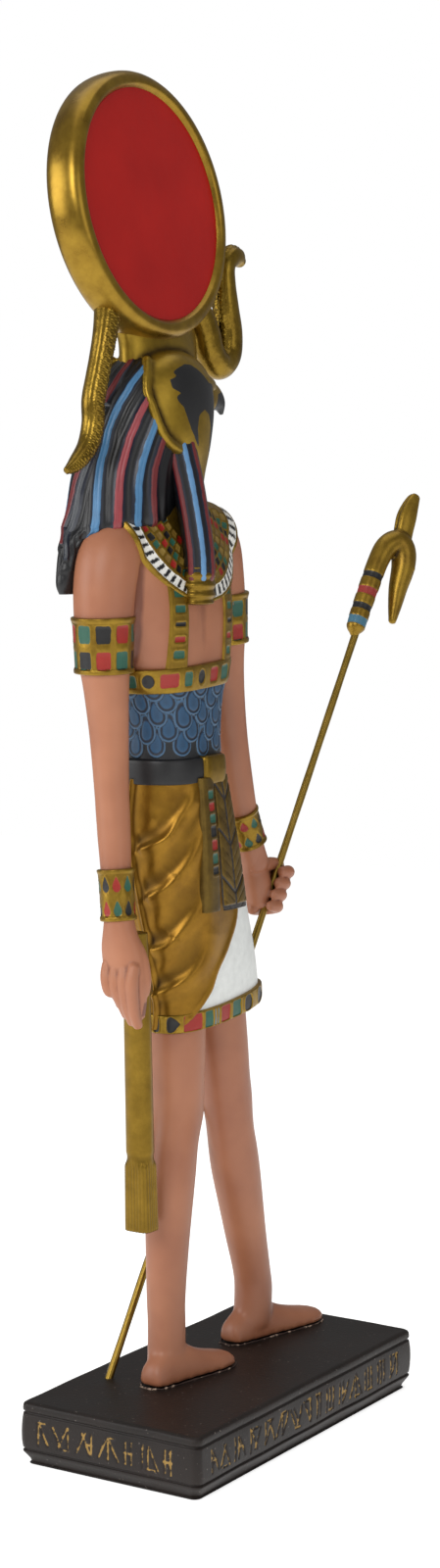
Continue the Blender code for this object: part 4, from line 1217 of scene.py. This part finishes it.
WIG = [
    (-22.6, 18.6, 174.4, 13.0, 2.6), (-22.6, 18.4, 177.0, 13.8, 3.8), (-21.6, 17.9, 184.0, 13.8, 4.8),
    (-20.5, 17.0, 186.6, 13.8, 6.0), (-18.6, 14.9, 188.6, 14.5, 10.0), (-17.6, 14.0, 192.8, 14.4, 10.5),
    (-16.4, 13.4, 200.0, 14.2, 10.4), (-14.6, 12.9, 207.0, 13.2, 10.4), (-13.8, 12.4, 213.0, 12.6, 10.2),
    (-13.2, 12.1, 217.5, 11.6, 9.6), (-12.8, 12.0, 221.0, 10.2, 8.2), (-12.4, 11.8, 223.8, 8.0, 6.4),
    (-12.2, 11.8, 225.6, 5.0, 4.0),
]
WIG_RED, WIG_ROSE, WIG_BLUE, WIG_BLACK, WIG_GREY = "#6A2224", "#8E363C", "#44769F", "#1C1C1F", "#3E4146"
# The locks: colour, half width in mm, and the (share up, share round) that each runs through.
LOCKS = [
    (WIG_RED, 1.0, [(0.200, 0.475), (0.332, 0.400), (0.485, 0.426), (0.56, 0.45)]),
    (WIG_GREY, 0.8, [(0.150, 0.535), (0.30, 0.455), (0.452, 0.456), (0.56, 0.475)]),
    (WIG_RED, 0.95, [(0.708, 0.476), (0.790, 0.501), (0.880, 0.520), (0.97, 0.53)]),
    (WIG_BLUE, 0.95, [(0.215, 0.635), (0.232, 0.610), (0.338, 0.550), (0.452, 0.530), (0.532, 0.520), (0.609, 0.517),
                      (0.687, 0.536), (0.781, 0.566), (0.848, 0.594), (0.92, 0.62)]),
    (WIG_ROSE, 0.8, [(0.30, 0.630), (0.358, 0.609), (0.466, 0.594), (0.532, 0.589), (0.589, 0.590), (0.654, 0.607),
                     (0.711, 0.624), (0.78, 0.645)]),
    (WIG_BLUE, 0.72, [(0.30, 0.690), (0.362, 0.664), (0.465, 0.647), (0.532, 0.644), (0.578, 0.647), (0.637, 0.659),
                     (0.69, 0.675)]),
    (WIG_RED, 0.68, [(0.30, 0.745), (0.349, 0.723), (0.451, 0.694), (0.514, 0.686), (0.569, 0.690), (0.62, 0.70)]),
]


def lock_field(u, v):
    """How far each point lies inside the nearest lock, in mm, and that lock's colour."""
    inside, tint = unpainted(len(u), WIG_BLACK)
    # The far side of the wig mirrors the near one.
    near = np.where(u < 0.36, 1.0 - u, u)
    for code, half, path in LOCKS:
        up, spot = zip(*path)
        beyond = np.maximum(up[0] - v, v - up[-1]) * 90.0
        depth = np.minimum(half - np.abs(near - np.interp(v, up, spot)) * 72.0, 0.6 - beyond)
        inside = lay(inside, tint, depth, code)
    return inside, tint


def wig_relief(u, v, x, y, z):
    """Raised locks, with a soft groove along each side."""
    inside, _ = lock_field(u, v)
    return 0.36 * np.clip(inside / 0.5 + 0.3, -0.4, 1) + 0.14 * np.cos(np.maximum(inside, -4.0) * 2.6)


wig = wrapped("striped_wig", 340, 200, upright(WIG, 2.3, wig_relief))
u, v = share_of(wig, "round"), share_of(wig, "up")
inside, tint = lock_field(u, v)
points, _ = points_of(wig)
end = points[:, 2] - 181.0
note(wig, "inlay", np.minimum(inside, end))
note(wig, "tint", tint)
# The wig is open in front of this edge, where the face stands in it.
WIG_EDGE = [(-18.4, 230.0), (-18.6, 223.9), (-21.1, 220.3), (-22.4, 217.2), (-22.3, 214.7), (-21.6, 212.0),
            (-20.3, 208.9), (-18.3, 206.5), (-14.8, 204.8), (-10.6, 204.0), (-5.6, 203.6)]
opening = [*WIG_EDGE, (-5.6, 186.0), (30.0, 186.0), (30.0, 240.0), (-18.4, 240.0)]
cut(wig, "DIFFERENCE", opening, -20.0, 60.0)
hollows(wig, 10)

# Acrylic black with red and blue locks brushed over it, satin and streaky.
wig_paint, tree, shader, place = new_paint("striped_wig_acrylic", WIG_BLACK, 0.45)
inlay = add(tree, "ShaderNodeAttribute", attribute_name="inlay").outputs["Fac"]
lock_colour = add(tree, "ShaderNodeAttribute", attribute_name="tint").outputs["Color"]
streak = noise(tree, place, 420.0, 3.0)
reach = ragged(tree, streak, 0.5, inlay)
field = add(tree, "ShaderNodeMapRange", {"From Min": -0.05, "From Max": 0.08}, {"Value": reach}).outputs[0]
uneven = add(tree, "ShaderNodeMapRange", {"To Min": 0.75, "To Max": 1.2}, {"Value": streak}).outputs[0]
lock_colour = add(tree, "ShaderNodeVectorMath", {}, {0: lock_colour, 1: uneven}, operation="MULTIPLY").outputs[0]
cloud = noise(tree, place, 200.0, 2.0)
border = add(tree, "ShaderNodeMapRange", {"From Min": -0.75, "From Max": -0.4}, {"Value": reach}).outputs[0]
black = laid_over(tree, border, two_tone(tree, cloud, 0.3, "#08080A", 0.8, "#131316"), "#0E1526")
colour = add(tree, "ShaderNodeMix", {}, {0: field, 6: black, 7: lock_colour}, data_type="RGBA").outputs[2]
tree.links.new(colour, shader.inputs["Base Color"])
satin(tree, shader, cloud, 0.30, 0.44)
grained(tree, shader, streak, 0.2, 0.0001)
dress(wig, wig_paint, "painted_resin")

LAPPET = [
    (-11.3, -1.1, 178.4, 4.3), (-11.3, -1.0, 181.6, 4.3), (-11.2, -0.5, 185.2, 4.3), (-11.0, 0.6, 190.6, 4.3),
    (-10.8, 2.3, 198.0, 4.4), (-10.9, 4.2, 205.5, 4.4),
]


def lappet_locks(u):
    """Three raised locks down the lappet's front."""
    inside, tint = unpainted(len(u), WIG_BLACK)
    for at, half, code in ((0.732, 0.026, WIG_RED), (0.844, 0.026, "#5F8DB8"), (0.976, 0.030, WIG_RED)):
        depth = (half - np.abs((u - at + 0.5) % 1.0 - 0.5)) * 28.0
        inside = lay(inside, tint, depth, code)
    return inside, tint


lappet = wrapped("wig_lappet", 120, 90, tube(
    LAPPET, flat=0.72, blunt=0.03, relief=lambda u, v, row: 0.3 * np.clip(lappet_locks(u)[0] / 0.5 + 0.3, -0.4, 1)))
inside, tint = lappet_locks(share_of(lappet, "round"))
note(lappet, "inlay", inside)
note(lappet, "tint", tint)
hollows(lappet, 10)
dress(lappet, wig_paint, "painted_resin")

lappet_end = wrapped("lappet_end", 64, 70, tube(
    [(-11.5, -1.0, 172.2, 3.9), (-11.5, -1.0, 173.4, 4.1), (-11.5, -1.1, 176.0, 4.2), (-11.5, -1.1, 179.8, 4.1)],
    flat=0.72, blunt=0.10, tip=0.15, relief=lambda u, v, row: 0.25 * np.cos((row[:, 2] - 171.9) * 2 * np.pi / 2.1)))
hollows(lappet_end, 10)
dress(lappet_end, plain_gold, "gilt_resin")

# ---------------------------------------------------------------------------------------------
# Sun disc
# A thick disc on the head, cast with it: a rounded gold rim round a sunk red face in front, and a
# plain gold back.

DISC_CENTRE = np.array((-11.6, 14.2, 257.0))
DISC_LEAN = math.radians(8.7)
DISC_RADIUS, INLAY_RADIUS = 29.0, 25.8
disc_facing = np.array((0.0, -math.cos(DISC_LEAN), math.sin(DISC_LEAN)))
disc_up = np.array((0.0, math.sin(DISC_LEAN), math.cos(DISC_LEAN)))


def on_disc(profile, wobble=0.0):
    """A profile of (distance in front of the disc's middle, radius), turned about its axis."""
    def shape(u, v):
        out, radius = between(profile, v).T
        turn = 2 * np.pi * u
        radius = radius * (1 + wobble * np.sin(3 * turn + 0.6))
        side = np.stack([np.cos(turn) * radius, np.zeros_like(u), np.zeros_like(u)], 1)
        return DISC_CENTRE + side + disc_up * (np.sin(turn) * radius)[:, None] + disc_facing * out[:, None]
    return shape


rim = wrapped("disc_rim", 180, 64, on_disc([
    (-3.4, 0.0), (-3.4, 12.0), (-3.4, 24.4), (-3.6, 25.2), (-4.3, 25.8), (-4.5, 26.6), (-4.0, 27.9), (-2.6, 28.8),
    (0.0, 29.1), (2.6, 28.8), (4.0, 27.9), (4.5, 26.6), (4.3, 25.8), (3.6, 25.2), (2.6, 24.6), (2.4, 24.0),
    (2.4, 12.0), (2.4, 0.0),
], 0.0015))
hollows(rim, 20)
rim_gold = gold_paint("antique_gold_acrylic_on_rim", tint="#82641F", bright="#A5842F", roughness=0.28, painted_shade=0.30)
dress(rim, rim_gold, "gilt_resin")

inlay_face = wrapped("disc_red_face", 120, 30, on_disc([
    (2.0, 0.0), (2.0, 20.0), (2.1, 25.0), (2.9, 25.3), (3.35, 25.1), (3.4, 24.6), (3.42, 20.0), (3.45, 10.0),
    (3.45, 0.0),
]))

# Red acrylic under gloss varnish, with faint brush marks.
disc_red, tree, shader, place = new_paint("gloss_red_acrylic", "#A5150E", 0.33)
shader.inputs["Specular IOR Level"].default_value = 0.3
cloud = noise(tree, place, 70.0, 4.0)
tree.links.new(two_tone(tree, cloud, 0.3, "#A10D07", 0.75, "#B0140C"), shader.inputs["Base Color"])
satin(tree, shader, cloud, 0.26, 0.40)
grained(tree, shader, noise(tree, place, 500.0, 2.0), 0.15)
dress(inlay_face, disc_red, "painted_resin")

# ---------------------------------------------------------------------------------------------
# Cobra
# A snake lies round the disc: its raised neck and head loop up in front, and its tail hangs behind
# the wig. It is cast gold, scaly along its back, with a groove along its side.

COBRA = [
    (4.0, 12.4, 238.0, 2.8), (7.4, 11.6, 235.6, 3.0), (9.8, 11.0, 230.8, 3.3), (11.4, 11.0, 226.8, 3.4),
    (15.0, 11.0, 224.0, 3.4), (18.6, 11.0, 226.2, 3.3), (19.3, 11.0, 231.0, 3.2), (18.2, 11.0, 236.5, 3.0),
    (17.6, 11.0, 241.9, 2.6), (17.8, 11.0, 245.8, 2.4), (19.8, 11.0, 248.0, 2.5), (22.4, 11.0, 248.2, 2.2),
    (24.2, 11.0, 247.2, 1.4),
]
COBRA_TAIL = [
    (-24.6, 13.0, 240.0, 3.4), (-27.5, 11.6, 234.0, 2.9), (-29.4, 11.0, 229.4, 2.6), (-30.9, 11.0, 224.3, 2.5),
    (-32.3, 11.0, 220.1, 2.5), (-33.8, 11.0, 215.4, 2.5), (-34.0, 11.0, 210.5, 2.4), (-36.0, 11.0, 205.8, 2.2),
    (-40.2, 11.0, 202.2, 1.7), (-43.4, 11.0, 200.8, 0.8),
]


def snake_skin(length, groove):
    """Small scales in staggered rows on one side, and a groove between them and the smooth belly."""
    def relief(u, v, row):
        rows_along = v * length / 0.95
        around = u * 2 * np.pi * row[:, 3] / 0.95
        bead = np.cos(np.pi * around + np.pi * (np.floor(rows_along) % 2)) * np.cos(2 * np.pi * rows_along)
        # The scales cover the back from the groove on. The belly is smooth.
        from_groove = (u - groove) % 1.0
        scaly = np.clip(from_groove * 12, 0, 1) * np.clip((0.55 - from_groove) * 12, 0, 1)
        return 0.18 * bead * scaly - 0.16 * np.exp(-(np.minimum(from_groove, 1 - from_groove) / 0.03) ** 2)
    return relief


snake_gold = gold_paint("antique_gold_acrylic_on_scales", tint="#6E5518", bright="#9C7E2C", roughness=0.28, painted_shade=0.14,
                        grit=900.0, grit_depth=0.0003)
cobra = wrapped("cobra", 70, 290, tube(COBRA, relief=snake_skin(58.0, 0.91), blunt=0.02))
tail = wrapped("cobra_tail", 70, 260, tube(COBRA_TAIL, relief=snake_skin(50.0, 0.59), blunt=0.02))
for snake in (cobra, tail):
    hollows(snake, 10)
    dress(snake, snake_gold, "gilt_resin")

# ---------------------------------------------------------------------------------------------
# Cloth
# The folded cloth that hangs from the right hand, cast stiff in resin with the figure and painted
# gold: flat bundled folds above a tied line, and a fringe of cut cords below it.

CLOTH_TOP, CLOTH_FOOT = np.array((-28.6, 4.2, 102.0)), np.array((-26.0, 4.6, 36.0))


def cloth_shape(u, v):
    """Bundled folds round a straight line, tied in near the foot, with a fringe of cords below."""
    share = np.clip((v - 0.03) / 0.94, 0, 1)
    spine = CLOTH_TOP + (CLOTH_FOOT - CLOTH_TOP) * share[:, None]
    swell = np.interp(share, (0, 0.25, 0.5, 0.735, 0.745, 0.755, 0.775, 1.0),
                      (0.8, 0.96, 1.0, 1.03, 0.97, 0.97, 1.0, 1.06))
    close = np.sqrt(np.clip(1 - np.maximum(np.maximum((0.03 - v) / 0.03, (v - 0.97) / 0.03), 0) ** 2, 0, 1))
    turn = 2 * np.pi * u
    c, s = np.cos(turn), np.sin(turn)
    reach = (np.abs(c) ** 4 + np.abs(s) ** 4) ** (-0.25)
    fringe = np.clip((share - 0.76) / 0.02, 0, 1)
    fold = 0.22 * np.sin(2 * np.pi * 4 * u + 0.8 + 1.5 * share) * (1 - fringe)
    cords = 0.20 * np.abs(np.sin(2 * np.pi * 13 * u)) * fringe
    out = (swell + (fold + cords) / 3.0) * close * reach
    return spine + np.stack([2.5 * out * c, 2.9 * out * s, np.zeros_like(u)], 1)


cloth = wrapped("hand_cloth", 150, 150, cloth_shape)
hollows(cloth, 12)
dress(cloth, plain_gold, "gilt_resin")

# ---------------------------------------------------------------------------------------------
# Sceptre
# A straight brass-coloured metal rod stands in the plinth and passes through the left fist. Its
# cast head is a banded sleeve that bends into a long-snouted beast with tall ears.

ROD_RADIUS, ROD_LENGTH = 0.85, 194.0


def rod_shape(u, v):
    """A straight round rod, very slightly uneven."""
    share = np.clip((v - 0.004) / 0.992, 0, 1) * ROD_LENGTH
    radius = ROD_RADIUS * np.clip(np.minimum(v, 1 - v) / 0.004, 0, 1)
    turn = 2 * np.pi * u
    facets = radius + 0.03 * np.sin(0.31 * share) * (radius > 0.8)
    return (SHAFT_FOOT + shaft_way * share[:, None] + aside * (np.cos(turn) * facets)[:, None]
            + outward * (np.sin(turn) * facets)[:, None])


rod = wrapped("sceptre_rod", 20, 160, rod_shape)
hollows(rod, 4)
rod_brass = gold_paint("gold_lacquered_brass", tint="#7A6222", bright="#947833", roughness=0.33, painted_shade=0.3, grit=1500.0,
                       grit_depth=0.00003)
dress(rod, rod_brass, "gilt_rod", "sceptre_shaft")

HEAD_TURN = math.radians(-32)
SLEEVE_RADIUS = 2.45
seat = Vector(SHAFT_FOOT + shaft_way * (ROD_LENGTH - 6.0))
stand = (Matrix.Translation(seat) @ Vector((0, 0, 1)).rotation_difference(Vector(shaft_way)).to_matrix().to_4x4()
         @ Matrix.Rotation(HEAD_TURN, 4, "Z"))
stand = np.array(stand)


def on_sceptre(shape):
    """A shape drawn upright at the origin, set on the rod's end."""
    def turned(u, v):
        return shape(u, v) @ stand[:3, :3].T + stand[:3, 3]
    return turned


parts = [
    wrapped("beast", 48, 150, on_sceptre(tube([
        (-0.3, 0, -0.4, 1.1), (-0.5, 0, 1.4, 2.3), (-0.6, 0, 6, 2.4), (-0.5, 0, 12, 2.5), (-0.3, 0, 18.8, 2.55),
        (0.6, 0, 23.2, 2.8), (2.8, 0, 25.6, 3.0), (5.1, 0, 24.4, 3.1), (6.5, 0, 20.8, 2.9), (7.0, 0, 15.2, 2.3),
        (7.7, 0, 10.6, 1.65), (8.3, 0, 6.9, 0.95),
    ], blunt=0.015))),
]
for side in (-1, 1):
    parts.append(wrapped("ear", 24, 40, on_sceptre(tube([
        (4.4, side * 0.5, 24.6, 2.2), (3.7, side * 0.8, 28.4, 2.2), (3.2, side * 0.9, 32.6, 2.25),
        (3.3, side * 0.8, 36.4, 1.7), (3.6, side * 0.6, 38.4, 1.2),
    ], flat=0.5, tip=0.5))))
    parts.append(wrapped("eye", 16, 16, on_sceptre(tube([
        (7.6, side * 1.9, 22.0, 0.7), (8.3, side * 1.7, 20.4, 0.7)]))))
beast = melted("sceptre_beast", parts, 0.3, 1)
points, normals = points_of(beast)
local = (points - stand[:3, 3]) @ stand[:3, :3]
on_sleeve = np.hypot(local[:, 0], local[:, 1]) < SLEEVE_RADIUS * 1.35
inside, tint = unpainted(len(points), BLACK)
for level, half, code in ((14.6, 0.75, BLACK), (10.4, 0.95, "#8E2A22"), (6.3, 0.75, BLACK), (2.6, 1.0, "#3F6C80")):
    depth = np.where(on_sleeve, half - np.abs(local[:, 2] - level), -9.0)
    inside = lay(inside, tint, depth, code)
note(beast, "inlay", inside)
note(beast, "tint", tint)
move(beast, -normals * (0.12 * np.clip(inside / 0.2 + 0.5, 0, 1))[:, None])
hollows(beast, 12)
dress(beast, trim_gold, "gilt_resin", "sceptre_head")

# ---------------------------------------------------------------------------------------------
# Glue
# The feet are glued to the plinth. A thin whitish bead shows round them, chipped here and there.


def glue_shape(ends):
    """A lumpy bead round a foot's sole."""
    heel, toe = np.array(ends, float)
    ahead = toe - heel
    aside_foot = np.array((-ahead[1], ahead[0])) / np.linalg.norm(ahead)

    def shape(u, v):
        turn = 2 * np.pi * u
        share = np.clip(0.5 + 0.515 * np.cos(turn), 0, 1)
        half = np.interp(share, *zip(*[(row[0], row[1]) for row in FOOT_SECTIONS]))
        spot = heel + ahead * (0.5 + 0.52 * np.cos(turn))[:, None]
        spot = spot + aside_foot * (np.sign(np.sin(turn)) * half * 0.97)[:, None]
        lump = 0.20 + 0.10 * np.sin(17 * turn) * np.sin(7 * turn + 1.0)
        ring = 2 * np.pi * v
        away = spot - (heel + toe) / 2
        away /= np.linalg.norm(away, axis=1)[:, None]
        flat = spot + away * (lump * np.cos(ring))[:, None]
        return np.stack([flat[:, 0], flat[:, 1], -0.15 + lump * np.sin(ring)], 1)

    return shape


# Dried glue and bare resin, chalky white with a grey bloom.
glue_paint, tree, shader, place = new_paint("dried_glue", "#C9B7A6", 0.6)
tone = two_tone(tree, noise(tree, place, 600.0, 3.0), 0.54, "#3A2822", 0.62, "#C4A893")
tree.links.new(tone, shader.inputs["Base Color"])
for name, ends in (("right_foot_glue", RIGHT_FOOT), ("left_foot_glue", LEFT_FOOT)):
    bead = wrapped(name, 240, 12, glue_shape(ends))
    dress(bead, glue_paint, "painted_resin")
